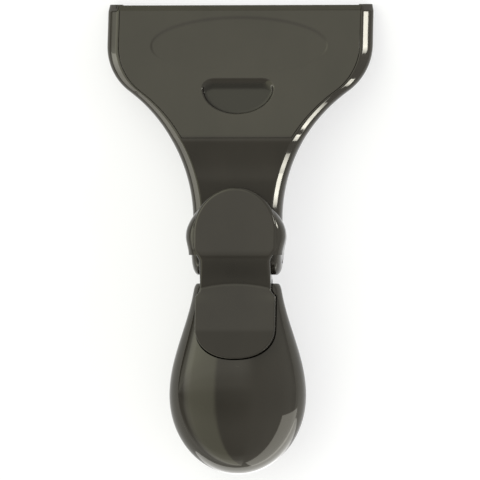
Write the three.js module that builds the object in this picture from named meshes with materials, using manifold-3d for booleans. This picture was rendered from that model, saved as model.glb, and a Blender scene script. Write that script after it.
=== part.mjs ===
// Aquarium algae scraper: wide blade head on a tilting hinge, bulb handle, rocking release lever.
// Units are millimetres. X is across the tool, Y runs from the handle to the blade, Z is up.
// The tool lies on its back. While it is drawn, Y = 0 is the hinge axis and Z = 0 is the table.

import * as THREE from 'three';
import Module from 'manifold-3d';
import { mergeVertices } from 'three/addons/utils/BufferGeometryUtils.js';

const wasm = await Module();
wasm.setup();

// Clearances
const gap = 0.3;
const runningGap = 0.4;
const overcut = 1;

// Overall sizes
const headWidth = 77;
const headReach = 70.1;
const handleReach = 65.5;
const pivotHeight = 13;

// Head plate and neck
const creaseY = 31.2;
const shoulderStartY = 58.3;
const neckHalf = 12.9;
const neckY = 7.7;
const flankRadius = 46;
const neckRise = 4;
const neckDrop = 4.5;
const tipThickness = 4.6;
const creaseThickness = 7.2;
const rimWidth = 3.5;
const rimDrop = 0.58;
const undersideRound = 1.6;
const noseLength = 2;
const noseDrop = 0.9;
const noseNarrow = 0.4;
const neckRootY = 1.5;

// Blade cover
const coverThickness = 1.8;
const railReach = 0.9;
const railThickness = 0.8;
const railLength = 9;
const tailHalf = 10;
const tailReach = 1.5;
const ovalY = 58;
const ovalHalfLength = 25.5;
const ovalHalfDepth = 8.6;
const ovalSink = 0.2;
const thumbFrontY = 48.2;
const thumbBackY = 38.4;
const thumbHalf = 10.1;
const thumbCornerX = 3.2;
const thumbCornerY = 2.6;
const thumbWall = 2;
const thumbSink = 1.2;
const thumbRise = 0.3;

// Blade
const bladeThickness = 0.6;
const bladeLength = 20;
const bladeSetBack = 0.8;
const bladeEdgeLength = 2.4;
const bladeEdgeThickness = 0.12;
const bladeHalf = 34;
const baseSetBack = 3;
const pegRadius = 1.6;
const pegX = 22;
const pegFromRear = 5;

// Hinge
const cheekRadius = 8.2;
const cheekInner = 9.3;
const cheekOuter = 12.9;
const cheekBevel = 0.5;
const cheekRound = 2.1;
const toothDepth = 0.4;
const toothPitch = 5;
const toothStart = 33;
const toothCount = 15;
const tongueRadius = 7.4;
const tongueHalf = 8.5;
const pivotRadius = 2.5;
const bushWall = 0.8;
const washerRadius = 6;
const washerThickness = 0.4;
const capRadius = 4.5;
const capThickness = 1;

// Release lever
const hoodHalf = 12.1;
const hoodReach = 17.1;
const hoodWideY = 4.2;
const hoodNarrowY = -0.2;
const hoodFullness = 2;
const valleyHalf = 10.2;
const valleyStartY = -4.4;
const valleyEndY = -11;
const padStartY = -13.4;
const padHalf = 11.5;
const padRoundY = -22.7;
const padEndY = -32.1;
const padFullness = 2.2;
const padLeanBlend = 3;
const hoodTipWall = 3.1;
const hoodCrestY = -2.4;
const hoodCrestWall = 2.3;
const valleyRise = 7.5;
const padFrontRise = 8;
const facetY = -24.1;
const facetRise = 10.4;
const padEndRise = 11;
const leverEdgeRound = 1;
const leverWall = 1.8;
const leverSideRise = 3.4;
const skirtWall = 1.2;
const skirtEndWall = 0.3;
const skirtFrontY = 14;
const skirtDipY = 5.5;
const skirtWideY = 0;
const skirtBackY = -3.5;
const skirtShoulderReach = 0.3;
const skirtShoulderDrop = 1;
const skirtKneeDrop = 2.6;
const skirtLowRise = 0.8;
const leverPinSetBack = 2.7;
const leverPinRise = 3.2;
const leverPinRadius = 1.25;
const leverEarRadius = 2.4;
const shoeInnerX = 9.6;
const shoeOuterX = 11;
const shoeThickness = 1;
const shoeStart = 35;
const shoeEnd = 60;
const shoePlay = 2;

// Spring under the lever's rear pad
const springY = -24.7;
const springRadius = 2.6;
const springWire = 0.45;
const springTurns = 4;
const springStub = 1.5;
const springPost = 2.2;
const stepsPerTurn = 8;
const wireSides = 5;

// Handle
const shellFrontY = -10.6;
const bulbWideY = -42.8;
const bulbHalf = 19.7;
const bulbFrontHalf = 12.4;
const bulbRise = 11.6;
const bulbFrontRise = 5.8;
const backSink = 1.4;
const bulbFrontFall = 6.5;
const bulbFullness = 2.1;
const buttTip = 0.03;
const frontRound = 2;
const frontShrink = 0.06;
const lateSwell = 0.65;
const shellWall = 2.2;
const seam = 0.3;
const channelEndGap = 0.6;
const shankHalf = 6.8;
const shankRise = 1.6;
const shankDrop = 4.5;
const shankEndY = -41.8;
const earInner = 3.8;
const earRadius = 2.1;
const ribY = -20;
const ribThickness = 2;
const ribHalf = 8;

// Screws
const screwRadius = 1.25;
const screwHeadRadius = 2.6;
const screwHeadHeight = 2;
const screwSink = 0.8;
const screwLength = 16;
const bossRadius = 3;
const screwPlaces = [
  [0, -37],
  [9.5, -47.7],
  [-9.5, -47.7],
];

// Facet counts
const roundSides = 28;
const smallSides = 20;
const bulbSides = 32;
const cheekSides = 42;
const cheekSteps = 4;
const rimSteps = 5;
const edgeSteps = 3;

// Values worked out from the sizes above
const headHalf = headWidth / 2;
const neckTopZ = pivotHeight + neckRise;
const neckLowZ = pivotHeight - neckDrop;
const plateRun = headReach - creaseY;
const plateSlope = Math.atan2(neckTopZ - tipThickness, plateRun);
const plateLength = plateRun / Math.cos(plateSlope);
const flankCentreX = neckHalf + flankRadius;
const flankInset = flankCentreX - headHalf;
const shoulderRise = shoulderStartY - neckY;
const shoulderRadius =
  (flankInset ** 2 + shoulderRise ** 2 - flankRadius ** 2) / (2 * (flankRadius - flankInset));
const flankEndY = neckY + (shoulderRise * flankRadius) / (flankRadius + shoulderRadius);
const bladeTop = -(coverThickness + gap);
const bladeLow = bladeTop - bladeThickness;
const pocketLow = bladeLow - gap;
const leverHollowX = valleyHalf - leverWall;
const bushOuter = pivotRadius + gap + bushWall;
const skirtInner = cheekOuter + gap;
const skirtHalf = skirtInner + skirtWall;
const skirtShoulderX = skirtInner + skirtShoulderReach;
const skirtLowZ = pivotHeight + skirtLowRise;
const hoodTipZ = neckTopZ + gap + hoodTipWall;
const hoodCrestZ = pivotHeight + cheekRadius + runningGap + hoodCrestWall;
const valleyZ = pivotHeight + valleyRise;
const padFrontZ = pivotHeight + padFrontRise;
const facetZ = pivotHeight + facetRise;
const padEndZ = pivotHeight + padEndRise;
const leverSideZ = pivotHeight + leverSideRise;
const leverPinY = -(cheekRadius + leverPinSetBack);
const leverPinZ = pivotHeight + leverPinRise;
const padSwing = Math.hypot(padEndY - leverPinY, padEndZ - leverPinZ);
const padLean = (padSwing + padEndY - leverPinY) / (padEndZ - leverPinZ);
const bulbFall = pivotHeight + backSink;
const shankTopZ = pivotHeight + shankRise;
const shankLowZ = pivotHeight - shankDrop;
const channelFloorZ = leverPinZ - leverEarRadius - runningGap;

// Materials

/** Gloss or matt finish with its own colour. */
function finish(color, roughness, metalness) {
  return new THREE.MeshStandardMaterial({ color, roughness, metalness });
}

const blackPlastic = () => finish(0x2b2926, 0.18, 0);
const coverPlastic = () => finish(0x32302c, 0.2, 0);
const corePlastic = () => finish(0x24231f, 0.5, 0);
const steel = () => finish(0xb9bbbd, 0.3, 1);
const bladeSteel = () => finish(0xc6c9cb, 0.22, 1);
const nylon = () => finish(0xd8d5cb, 0.5, 0);
const rubber = () => finish(0x1c1c1c, 0.9, 0);

// Solids and meshes

/** Turns a closed three.js geometry into a solid for cutting and joining. */
function solid(geometry) {
  const bare = geometry.clone();
  bare.deleteAttribute('normal');
  bare.deleteAttribute('uv');
  const merged = mergeVertices(bare, 1e-5);
  return new wasm.Manifold(
    new wasm.Mesh({
      numProp: 3,
      vertProperties: new Float32Array(merged.attributes.position.array),
      triVerts: new Uint32Array(merged.index.array),
    }),
  );
}

/** Turns a solid back into a three.js geometry. */
function geometryOf(body) {
  const mesh = body.getMesh();
  const geometry = new THREE.BufferGeometry();
  geometry.setAttribute('position', new THREE.BufferAttribute(mesh.vertProperties, 3));
  geometry.setIndex(new THREE.BufferAttribute(mesh.triVerts, 1));
  geometry.computeVertexNormals();
  return geometry;
}

/** Adds several solids together. */
function join(...bodies) {
  return bodies.reduce((all, body) => all.add(body));
}

/** Cuts several solids away from the first. */
function cut(body, ...tools) {
  return tools.reduce((left, tool) => left.subtract(tool), body);
}

/** A box between two corners. */
function block(x0, x1, y0, y1, z0, z1) {
  const box = new THREE.BoxGeometry(x1 - x0, y1 - y0, z1 - z0);
  return solid(box.translate((x0 + x1) / 2, (y0 + y1) / 2, (z0 + z1) / 2));
}

/** A round bar along X. */
function rod(radius, x0, x1, y, z, sides = roundSides) {
  const bar = new THREE.CylinderGeometry(radius, radius, x1 - x0, sides);
  return solid(bar.rotateZ(Math.PI / 2).translate((x0 + x1) / 2, y, z));
}

/** A round post along Z. */
function post(radius, x, y, z0, z1, sides = smallSides) {
  const bar = new THREE.CylinderGeometry(radius, radius, z1 - z0, sides);
  return solid(bar.rotateX(Math.PI / 2).translate(x, y, (z0 + z1) / 2));
}

/** A tube along X, turned from its closed wall section. */
function sleeve(inner, outer, x0, x1, y, z) {
  const wall = [
    [inner, x0],
    [outer, x0],
    [outer, x1],
    [inner, x1],
    [inner, x0],
  ];
  const profile = wall.map(([radius, x]) => new THREE.Vector2(radius, x));
  const tube = new THREE.LatheGeometry(profile, roundSides);
  return solid(tube.rotateZ(-Math.PI / 2).translate(0, y, z));
}

/** A flat shape drawn in Y and Z, pushed along X. */
function sideShape(shape, x0, x1, bevel = 0, arcSteps = 8) {
  const geometry = new THREE.ExtrudeGeometry(shape, {
    depth: x1 - x0 - 2 * bevel,
    bevelEnabled: bevel > 0,
    bevelThickness: bevel,
    bevelSize: bevel,
    bevelOffset: -bevel,
    bevelSegments: 1,
    curveSegments: arcSteps,
  });
  geometry.rotateX(Math.PI / 2).rotateZ(Math.PI / 2);
  return solid(geometry.translate(x0 + bevel, 0, 0));
}

/** A flat shape drawn in X and Y, pushed up from z0 to z1. */
function planShape(shape, z0, z1) {
  const geometry = new THREE.ExtrudeGeometry(shape, {
    depth: z1 - z0,
    bevelEnabled: false,
    curveSegments: smallSides,
  });
  return solid(geometry.translate(0, 0, z0));
}

/** A skin through closed rings of X and Z points, one ring at each rising Y station. */
function loft(stations, ringAt) {
  const rings = stations.map((y) => ringAt(y).map(([x, z]) => [x, y, z]));
  const count = rings[0].length;
  const triangles = [];
  for (let row = 0; row + 1 < rings.length; row += 1) {
    for (let i = 0; i < count; i += 1) {
      const next = (i + 1) % count;
      const a = row * count + i;
      const b = row * count + next;
      triangles.push(a, b, b + count, a, b + count, a + count);
    }
  }
  const last = (rings.length - 1) * count;
  for (let i = 1; i + 1 < count; i += 1) {
    triangles.push(0, i + 1, i);
    triangles.push(last, last + i, last + i + 1);
  }
  const geometry = new THREE.BufferGeometry();
  geometry.setAttribute('position', new THREE.Float32BufferAttribute(rings.flat(2), 3));
  geometry.setIndex(triangles);
  return solid(geometry);
}

/** Mirrors the right half of a ring, from its top centre to its bottom centre. */
function mirrored(right) {
  const left = right.slice(1, -1).reverse();
  return [...right, ...left.map(([x, z]) => [-x, z])];
}

/** Even steps from one value to another, both ends included. */
function steps(from, to, count) {
  return Array.from({ length: count + 1 }, (_, i) => from + ((to - from) * i) / count);
}

/** Steps that crowd together towards the far end, for a round nose. */
function roundSteps(from, to, count) {
  return steps(0, Math.PI / 2, count).map((angle) => from + (to - from) * Math.sin(angle));
}

/** Straight-line value between two places. */
function between(y, y0, z0, y1, z1) {
  return z0 + ((z1 - z0) * (y - y0)) / (y1 - y0);
}

/** Same as between, but with an easy start and end. */
function eased(y, y0, z0, y1, z1) {
  return z0 + (z1 - z0) * THREE.MathUtils.smoothstep(Math.abs(y - y0), 0, Math.abs(y1 - y0));
}

/** Half-width of a rounded end that closes at the given reach. */
function roundEnd(along, reach, half, fullness) {
  const share = Math.min(Math.abs(along / reach), 1);
  return half * (1 - share ** fullness) ** (1 / fullness);
}

// Head

/** Half-width of the head, seen from above. */
function headHalfWidth(y) {
  if (y >= shoulderStartY) {
    return headHalf;
  }
  if (y >= flankEndY) {
    const rise = y - shoulderStartY;
    return headHalf - shoulderRadius + Math.sqrt(shoulderRadius ** 2 - rise ** 2);
  }
  if (y >= neckY) {
    return flankCentreX - Math.sqrt(flankRadius ** 2 - (y - neckY) ** 2);
  }
  return neckHalf;
}

/** Height of the head's top face. */
function headTop(y) {
  return neckTopZ - Math.max(0, y - creaseY) * Math.tan(plateSlope);
}

/** Height of the head's underside. */
function headLow(y) {
  if (y <= creaseY) {
    return eased(y, neckY, neckLowZ, creaseY, neckTopZ - creaseThickness);
  }
  return headTop(y) - between(y, creaseY, creaseThickness, headReach, tipThickness);
}

/** Cross-section of the head: flat top, rolled rims and rounded lower edges. */
function headRing(y) {
  const nose = Math.max(0, y - (headReach - noseLength)) / noseLength;
  const half = headHalfWidth(y) - noseNarrow * nose;
  const top = headTop(y) - noseDrop * nose;
  const low = headLow(Math.max(y, neckY));
  const roll = (top - low) * rimDrop;
  const rim = steps(0, Math.PI / 2, rimSteps).map((angle) => [
    half - rimWidth + rimWidth * Math.sin(angle),
    top - roll + roll * Math.cos(angle),
  ]);
  const under = steps(0, Math.PI / 2, edgeSteps).map((angle) => [
    half - undersideRound + undersideRound * Math.cos(angle),
    low + (top - roll - low) * (1 - Math.sin(angle)),
  ]);
  return mirrored([[0, top], ...rim, ...under.slice(1), [0, low]]);
}

/** Moves a solid from the plate's own frame to the head: Y along the plate, Z out of it. */
function onPlate(body) {
  return body.rotate([THREE.MathUtils.radToDeg(-plateSlope), 0, 0]).translate([0, creaseY, neckTopZ]);
}

/** Distance along the plate for a place seen from above. */
function alongPlate(y) {
  return (y - creaseY) / Math.cos(plateSlope);
}

/** Outline of the panel between the rims, grown or shrunk, in the plate's own frame. */
function panelShape(grow, rear, front) {
  const rows = [...steps(creaseY, flankEndY, 7), ...steps(flankEndY, shoulderStartY, 6).slice(1)];
  const right = rows.map((y) => [headHalfWidth(y) - rimWidth + grow, alongPlate(y)]);
  right[0][1] = rear;
  right.push([headHalf - rimWidth + grow, front]);
  const left = right.map(([x, v]) => [-x, v]).reverse();
  return new THREE.Shape([...right, ...left].map(([x, v]) => new THREE.Vector2(x, v)));
}

/** Turned form that rounds the outer edge of a cheek, bored for the pin. */
function cheekDome() {
  const flat = capRadius + gap;
  const crown = steps(0, Math.PI / 2, cheekSteps).map((angle) => [
    flat + (cheekRadius - flat) * Math.cos(angle),
    cheekOuter - cheekRound + cheekRound * Math.sin(angle),
  ]);
  const wall = [[pivotRadius, cheekInner], [cheekRadius, cheekInner], ...crown, [pivotRadius, cheekOuter]];
  const profile = [...wall, wall[0]].map(([radius, x]) => new THREE.Vector2(radius, x));
  const dome = new THREE.LatheGeometry(profile, cheekSides);
  return solid(dome.rotateZ(-Math.PI / 2).translate(0, 0, pivotHeight));
}

/** A flat ring sector about the hinge axis, drawn in Y and Z. */
function sector(inner, outer, startDegrees, endDegrees) {
  const start = THREE.MathUtils.degToRad(startDegrees);
  const end = THREE.MathUtils.degToRad(endDegrees);
  const shape = new THREE.Shape();
  shape.absarc(0, pivotHeight, outer, start, end, false);
  shape.absarc(0, pivotHeight, inner, end, start, true);
  shape.closePath();
  return shape;
}

/** Round cheek outline with the shallow teeth that the lock shoes press on. */
function cheekShape() {
  const points = [];
  for (let i = 0; i < toothCount; i += 1) {
    const angle = toothStart + i * toothPitch;
    points.push([cheekRadius - toothDepth, angle], [cheekRadius, angle + toothPitch / 2]);
  }
  const smoothStart = toothStart + toothCount * toothPitch;
  const smoothSteps = 24;
  steps(smoothStart, toothStart + 360, smoothSteps)
    .slice(0, -1)
    .forEach((angle) => points.push([cheekRadius, angle]));
  return new THREE.Shape(
    points.map(([radius, degrees]) => {
      const angle = THREE.MathUtils.degToRad(degrees);
      return new THREE.Vector2(radius * Math.cos(angle), pivotHeight + radius * Math.sin(angle));
    }),
  );
}

/** One fork cheek with its toothed edge and round outer face; side is 1 for right and -1 for left. */
function cheek(side) {
  const disc = sideShape(cheekShape(), cheekInner, cheekOuter + cheekBevel, cheekBevel);
  const right = disc.intersect(cheekDome());
  return side > 0 ? right : right.mirror([1, 0, 0]);
}

/** Neck, fork, rims and base of the head in one moulding. */
function headFrame() {
  const stations = [
    ...steps(neckRootY, neckY, 2),
    ...steps(neckY, creaseY, 7).slice(1),
    ...steps(creaseY, flankEndY, 6).slice(1),
    ...steps(flankEndY, shoulderStartY, 6).slice(1),
    headReach - noseLength,
    headReach,
  ];
  const body = join(loft(stations, headRing), cheek(1), cheek(-1));
  const slot = join(
    rod(tongueRadius + runningGap, -cheekInner, cheekInner, 0, pivotHeight),
    block(-cheekInner, cheekInner, -cheekRadius - overcut, 0, 0, neckTopZ + cheekRadius),
  );
  const front = plateLength + creaseThickness;
  const panel = planShape(panelShape(0, 0, front), bladeTop, neckTopZ);
  const railX = headHalf - rimWidth + railReach + gap;
  const railStart = plateLength - noseLength - railLength - gap;
  const groove = block(-railX, railX, railStart, front, bladeTop, railThickness - coverThickness + gap);
  const tail = block(
    -tailHalf - gap,
    tailHalf + gap,
    -tailReach - gap,
    overcut,
    bladeTop,
    railThickness - coverThickness + gap,
  );
  const bladeRear = plateLength - bladeSetBack - bladeLength;
  const pocketHalf = bladeHalf + gap;
  const bladeRoom = planShape(panelShape(-gap, 0, front), pocketLow, overcut);
  const pocket = block(-pocketHalf, pocketHalf, bladeRear - gap, front, pocketLow, overcut);
  const relief = block(-pocketHalf, pocketHalf, plateLength - baseSetBack, front, -creaseThickness, overcut);
  const pegs = [-pegX, pegX].map((x) =>
    post(pegRadius, x, bladeRear + pegFromRear, pocketLow - overcut, bladeTop),
  );
  const cuts = [panel, groove, tail, pocket.intersect(bladeRoom), relief];
  const plate = cut(body, slot, ...cuts.map(onPlate));
  const bores = join(
    rod(pivotRadius + gap, -cheekOuter, cheekOuter, 0, pivotHeight),
    rod(capRadius + gap, cheekOuter - capThickness - gap, cheekOuter + overcut, 0, pivotHeight),
    rod(capRadius + gap, -cheekOuter - overcut, -cheekOuter + capThickness + gap, 0, pivotHeight),
  );
  return cut(join(plate, ...pegs.map(onPlate)), bores);
}

/** Sliding cover with the bare oval and the thumb hollow. */
function bladeCover() {
  const panel = planShape(panelShape(-gap, gap, plateLength), -coverThickness, 0);
  const railX = headHalf - rimWidth + railReach;
  const railTop = railThickness - coverThickness;
  const railEnd = plateLength - noseLength;
  const rails = block(-railX, railX, railEnd - railLength, railEnd, -coverThickness, railTop);
  const tail = block(-tailHalf, tailHalf, -tailReach, overcut, -coverThickness, railTop);
  const noseCut = new THREE.Shape([
    new THREE.Vector2(plateLength - noseLength, 0),
    new THREE.Vector2(plateLength + overcut, 0),
    new THREE.Vector2(plateLength + overcut, -noseDrop * (1 + overcut / noseLength)),
  ]);
  const oval = new THREE.Shape();
  oval.absellipse(0, alongPlate(ovalY), ovalHalfLength, ovalHalfDepth, 0, 2 * Math.PI, false, 0);
  const thumbFront = alongPlate(thumbFrontY);
  const thumbBack = alongPlate(thumbBackY);
  const thumbWideV = thumbFront - thumbCornerY;
  const cornerX = thumbHalf - thumbCornerX;
  const quarter = Math.PI / 2;
  const thumb = new THREE.Shape();
  thumb.absellipse(0, thumbWideV, thumbHalf, thumbWideV - thumbBack, 2 * quarter, 4 * quarter, false, 0);
  thumb.absellipse(cornerX, thumbWideV, thumbCornerX, thumbCornerY, 0, quarter, false, 0);
  thumb.absellipse(-cornerX, thumbWideV, thumbCornerX, thumbCornerY, quarter, 2 * quarter, false, 0);
  const ramp = new THREE.Shape([
    new THREE.Vector2(thumbFront, 0),
    new THREE.Vector2(thumbFront, overcut),
    new THREE.Vector2(thumbBack - overcut, overcut),
    new THREE.Vector2(thumbBack - overcut, -thumbSink + thumbRise),
    new THREE.Vector2(thumbFront - thumbWall, -thumbSink),
  ]);
  const hollow = planShape(thumb, -coverThickness, overcut).intersect(
    sideShape(ramp, -headHalf, headHalf),
  );
  const cover = cut(
    join(panel, rails, tail),
    sideShape(noseCut, -headHalf, headHalf),
    planShape(oval, -ovalSink, overcut),
    hollow,
  );
  return onPlate(cover);
}

/** Ground steel blade with two locating holes. */
function blade() {
  const front = plateLength - bladeSetBack;
  const rear = front - bladeLength;
  const profile = new THREE.Shape([
    new THREE.Vector2(rear, bladeLow),
    new THREE.Vector2(front, bladeLow),
    new THREE.Vector2(front, bladeLow + bladeEdgeThickness),
    new THREE.Vector2(front - bladeEdgeLength, bladeTop),
    new THREE.Vector2(rear, bladeTop),
  ]);
  const holes = [-pegX, pegX].map((x) =>
    post(pegRadius + gap, x, rear + pegFromRear, bladeLow - overcut, bladeTop + overcut),
  );
  const outline = planShape(panelShape(-2 * gap, 0, plateLength), bladeLow - overcut, overcut);
  return onPlate(cut(sideShape(profile, -bladeHalf, bladeHalf).intersect(outline), ...holes));
}

// Release lever

/** Half-width of the lever, seen from above: hood, finger valley and rear pad. */
function leverHalfWidth(y) {
  if (y >= hoodWideY) {
    return roundEnd(y - hoodWideY, hoodReach - hoodWideY, hoodHalf, hoodFullness);
  }
  if (y >= valleyStartY) {
    return eased(Math.min(y, hoodNarrowY), hoodNarrowY, hoodHalf, valleyStartY, valleyHalf);
  }
  if (y >= padRoundY) {
    return eased(Math.min(y, valleyEndY), valleyEndY, valleyHalf, padStartY, padHalf);
  }
  return roundEnd(y - padRoundY, padEndY - padRoundY, padHalf, padFullness);
}

/** Height of the lever's top: sloping hood, roll into the valley and two pad facets. */
function leverTop(y) {
  if (y >= hoodCrestY) {
    return between(y, hoodCrestY, hoodCrestZ, hoodReach, hoodTipZ);
  }
  if (y >= valleyEndY) {
    return eased(y, hoodCrestY, hoodCrestZ, valleyEndY, valleyZ);
  }
  if (y >= facetY) {
    return between(y, valleyEndY, padFrontZ, facetY, facetZ);
  }
  return between(y, facetY, facetZ, padEndY, padEndZ);
}

/** Height of the lever's lower side edge. */
function leverLow(y) {
  return y > valleyStartY ? neckTopZ + gap : leverSideZ;
}

/** Cross-section of the lever with rounded top edges. */
function leverRing(y) {
  const half = Math.max(leverHalfWidth(y), leverEdgeRound / 2);
  const top = leverTop(y);
  const round = Math.min(leverEdgeRound, half / 2);
  const corner = steps(0, Math.PI / 2, edgeSteps).map((angle) => [
    half - round + round * Math.sin(angle),
    top - round + round * Math.cos(angle),
  ]);
  return mirrored([[0, top], ...corner, [half, leverLow(y)], [0, leverLow(y)]]);
}

/** Rectangular section that hollows the lever and leaves its wall. */
function leverHollowRing(y) {
  const half = leverHalfWidth(y) - leverWall;
  const top = leverTop(y) - leverWall;
  return mirrored([
    [0, top],
    [half, top],
    [half, 0],
    [0, 0],
  ]);
}

/** Half-width of the skirts, seen from above: they grow out of the hood and close behind it. */
function skirtOuter(y) {
  if (y >= skirtWideY) {
    return leverHalfWidth(y) + eased(y, skirtFrontY, 0, skirtWideY, skirtHalf - hoodHalf);
  }
  return eased(y, skirtWideY, skirtHalf, skirtBackY, skirtInner + skirtEndWall);
}

/** Section of the right skirt that hangs outside the cheek. */
function skirtRing(y) {
  const outer = skirtOuter(y);
  const half = leverHalfWidth(y);
  const inner = half - 2 * leverEdgeRound;
  const low = y > skirtDipY ? neckTopZ : between(y, skirtDipY, neckTopZ, skirtBackY, skirtLowZ);
  const top = leverTop(y) - leverEdgeRound / 2;
  const shoulder = Math.min(skirtShoulderX, outer - gap);
  return [
    [inner, top],
    [half - gap, top],
    [shoulder, leverTop(y) - skirtShoulderDrop],
    [outer, leverTop(y) - skirtKneeDrop],
    [outer, low],
    [inner, low],
  ];
}

/** Stations shared by the lever and what is cut to fit it, from its rear end to its front. */
function leverStations(rearY, frontY) {
  const rear = roundSteps(padRoundY, rearY, 8).reverse();
  const front = roundSteps(hoodWideY, frontY, 8);
  return [
    ...rear,
    ...steps(padRoundY, padStartY, 2).slice(1),
    ...steps(padStartY, valleyEndY, 4).slice(1),
    ...steps(valleyEndY, valleyStartY, 4).slice(1),
    ...steps(valleyStartY, hoodNarrowY, 4).slice(1),
    ...front,
  ];
}

/** Leans a form's rear end back below the pad, along the arc of the lever, so that its gap stays small. */
function leanEnd(body) {
  return body.warp((point) => {
    const share = THREE.MathUtils.smoothstep(padRoundY - point[1], 0, padLeanBlend);
    point[1] -= padLean * (padEndZ - point[2]) * share;
  });
}

/** Rocking lever: hood, valley, pad, skirts and the ears for its pin. */
function releaseLever() {
  const skin = loft(leverStations(padEndY, hoodReach), leverRing);
  const skirtRows = [...steps(skirtBackY, skirtWideY, 2), ...steps(skirtWideY, skirtFrontY, 6).slice(1)];
  const skirt = loft(skirtRows, skirtRing);
  const skirts = join(skirt, skirt.mirror([1, 0, 0]));
  const hollow = loft(
    leverStations(padEndY + leverWall, hoodReach - leverWall),
    leverHollowRing,
  );
  const crown = join(
    rod(cheekRadius + runningGap, -skirtInner, skirtInner, 0, pivotHeight, 2 * roundSides),
    block(-skirtInner, skirtInner, -cheekRadius, hoodReach, 0, neckTopZ + gap),
  );
  const pocketTop = cheekRadius + gap + shoeThickness + gap;
  const pocket = sector(cheekRadius, pocketTop, shoeStart - shoePlay, shoeEnd + shoePlay);
  const pockets = [1, -1].map((side) => {
    const right = sideShape(pocket, shoeInnerX - gap, shoeOuterX + gap);
    return side > 0 ? right : right.mirror([1, 0, 0]);
  });
  const ears = join(
    rod(leverEarRadius, leverHollowX, valleyHalf, leverPinY, leverPinZ, smallSides),
    rod(leverEarRadius, -valleyHalf, -leverHollowX, leverPinY, leverPinZ, smallSides),
  );
  const stub = post(
    springRadius - springWire - runningGap,
    0,
    springY,
    leverTop(springY) - leverWall - springStub,
    leverTop(springY) - leverWall / 2,
  );
  const boreEnd = valleyHalf + overcut;
  const pinBore = rod(leverPinRadius + gap, -boreEnd, boreEnd, leverPinY, leverPinZ, smallSides);
  const shell = leanEnd(cut(join(skin, skirts), hollow, crown, ...pockets));
  return cut(join(shell, ears, stub), pinBore);
}

/** Rubber shoe that presses on a cheek; side is 1 for right and -1 for left. */
function lockShoe(side) {
  const shape = sector(cheekRadius + gap, cheekRadius + gap + shoeThickness, shoeStart, shoeEnd);
  const right = sideShape(shape, shoeInnerX, shoeOuterX);
  return side > 0 ? right : right.mirror([1, 0, 0]);
}

/** Points along the spring's wire. */
function springPath() {
  const low = shankTopZ + gap + springWire;
  const high = leverTop(springY) - leverWall - gap - springWire;
  const count = springTurns * stepsPerTurn;
  return steps(0, 1, count).map((share) => {
    const angle = share * springTurns * 2 * Math.PI;
    return new THREE.Vector3(
      springRadius * Math.cos(angle),
      springY + springRadius * Math.sin(angle),
      low + (high - low) * share,
    );
  });
}

/** Least clear space between neighbouring turns of the spring. */
function springGap(path) {
  const distances = path.flatMap((point, i) =>
    path.slice(i + stepsPerTurn / 2).map((other) => point.distanceTo(other)),
  );
  return Math.min(...distances) - 2 * springWire;
}

/** Coil spring as one unbroken wire. */
function leverSpring() {
  const path = springPath();
  console.log(`spring least self gap ${springGap(path).toFixed(2)} mm`);
  const positions = [];
  const triangles = [];
  path.forEach((point) => {
    const outward = new THREE.Vector3(point.x, point.y - springY, 0).normalize();
    for (let i = 0; i < wireSides; i += 1) {
      const angle = (i / wireSides) * 2 * Math.PI;
      const reach = springWire * Math.cos(angle);
      const lift = springWire * Math.sin(angle);
      positions.push(point.x + outward.x * reach, point.y + outward.y * reach, point.z + lift);
    }
  });
  for (let row = 0; row + 1 < path.length; row += 1) {
    for (let i = 0; i < wireSides; i += 1) {
      const a = row * wireSides + i;
      const b = row * wireSides + ((i + 1) % wireSides);
      triangles.push(a, b + wireSides, b, a, a + wireSides, b + wireSides);
    }
  }
  const last = (path.length - 1) * wireSides;
  for (let i = 1; i + 1 < wireSides; i += 1) {
    triangles.push(0, i, i + 1);
    triangles.push(last, last + i + 1, last + i);
  }
  const geometry = new THREE.BufferGeometry();
  geometry.setAttribute('position', new THREE.Float32BufferAttribute(positions, 3));
  geometry.setIndex(triangles);
  return solid(geometry);
}

// Handle

/** Share of the swell from the handle's front to its widest place. */
function swell(y) {
  const share = THREE.MathUtils.clamp((shellFrontY - y) / (shellFrontY - bulbWideY), 0, 1);
  const slow = (1 - Math.cos(Math.PI * share)) / 2;
  const fast = Math.sin((Math.PI * share) / 2);
  return lateSwell * slow + (1 - lateSwell) * fast;
}

/** How far the round butt end has closed, from 1 at the widest place to 0 at the tip. */
function buttShare(y, inset) {
  const along = Math.max(0, bulbWideY - y);
  return Math.max(roundEnd(along, handleReach + bulbWideY - inset, 1, 2), buttTip);
}

/** Cross-section of the bulb, shrunk by an inset, with its flat back. */
function bulbRing(y, inset) {
  const grown = swell(y);
  const closing = buttShare(y, inset);
  const corner = 1 - frontShrink * THREE.MathUtils.smoothstep(y, shellFrontY - frontRound, shellFrontY);
  const half = (bulbFrontHalf + (bulbHalf - bulbFrontHalf) * grown) * corner - inset;
  const rise = (bulbFrontRise + (bulbRise - bulbFrontRise) * grown) * corner - inset;
  const fall = (bulbFrontFall + (bulbFall - bulbFrontFall) * grown) * corner - inset;
  const power = 2 / bulbFullness;
  return steps(0, 2 * Math.PI, bulbSides)
    .slice(0, -1)
    .map((angle) => {
      const across = Math.sign(Math.sin(angle)) * Math.abs(Math.sin(angle)) ** power;
      const up = Math.sign(Math.cos(angle)) * Math.abs(Math.cos(angle)) ** power;
      const height = pivotHeight + up * (up > 0 ? rise : fall) * closing;
      return [across * half * closing, Math.max(height, inset)];
    });
}

/** Height of the bulb's back at a place seen from above. */
function bulbBack(x, y) {
  const half = bulbFrontHalf + (bulbHalf - bulbFrontHalf) * swell(y);
  const fall = bulbFrontFall + (bulbFall - bulbFrontFall) * swell(y);
  const closing = buttShare(y, 0);
  return Math.max(0, pivotHeight - roundEnd(x, half * closing, fall * closing, bulbFullness));
}

/** Heights of a screw's head, its seat and its tip. */
function screwHeights([x, y]) {
  const headLow = bulbBack(x, y) + screwSink;
  const seat = headLow + screwHeadHeight;
  return { headLow, seat, tip: headLow + screwLength };
}

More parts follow.
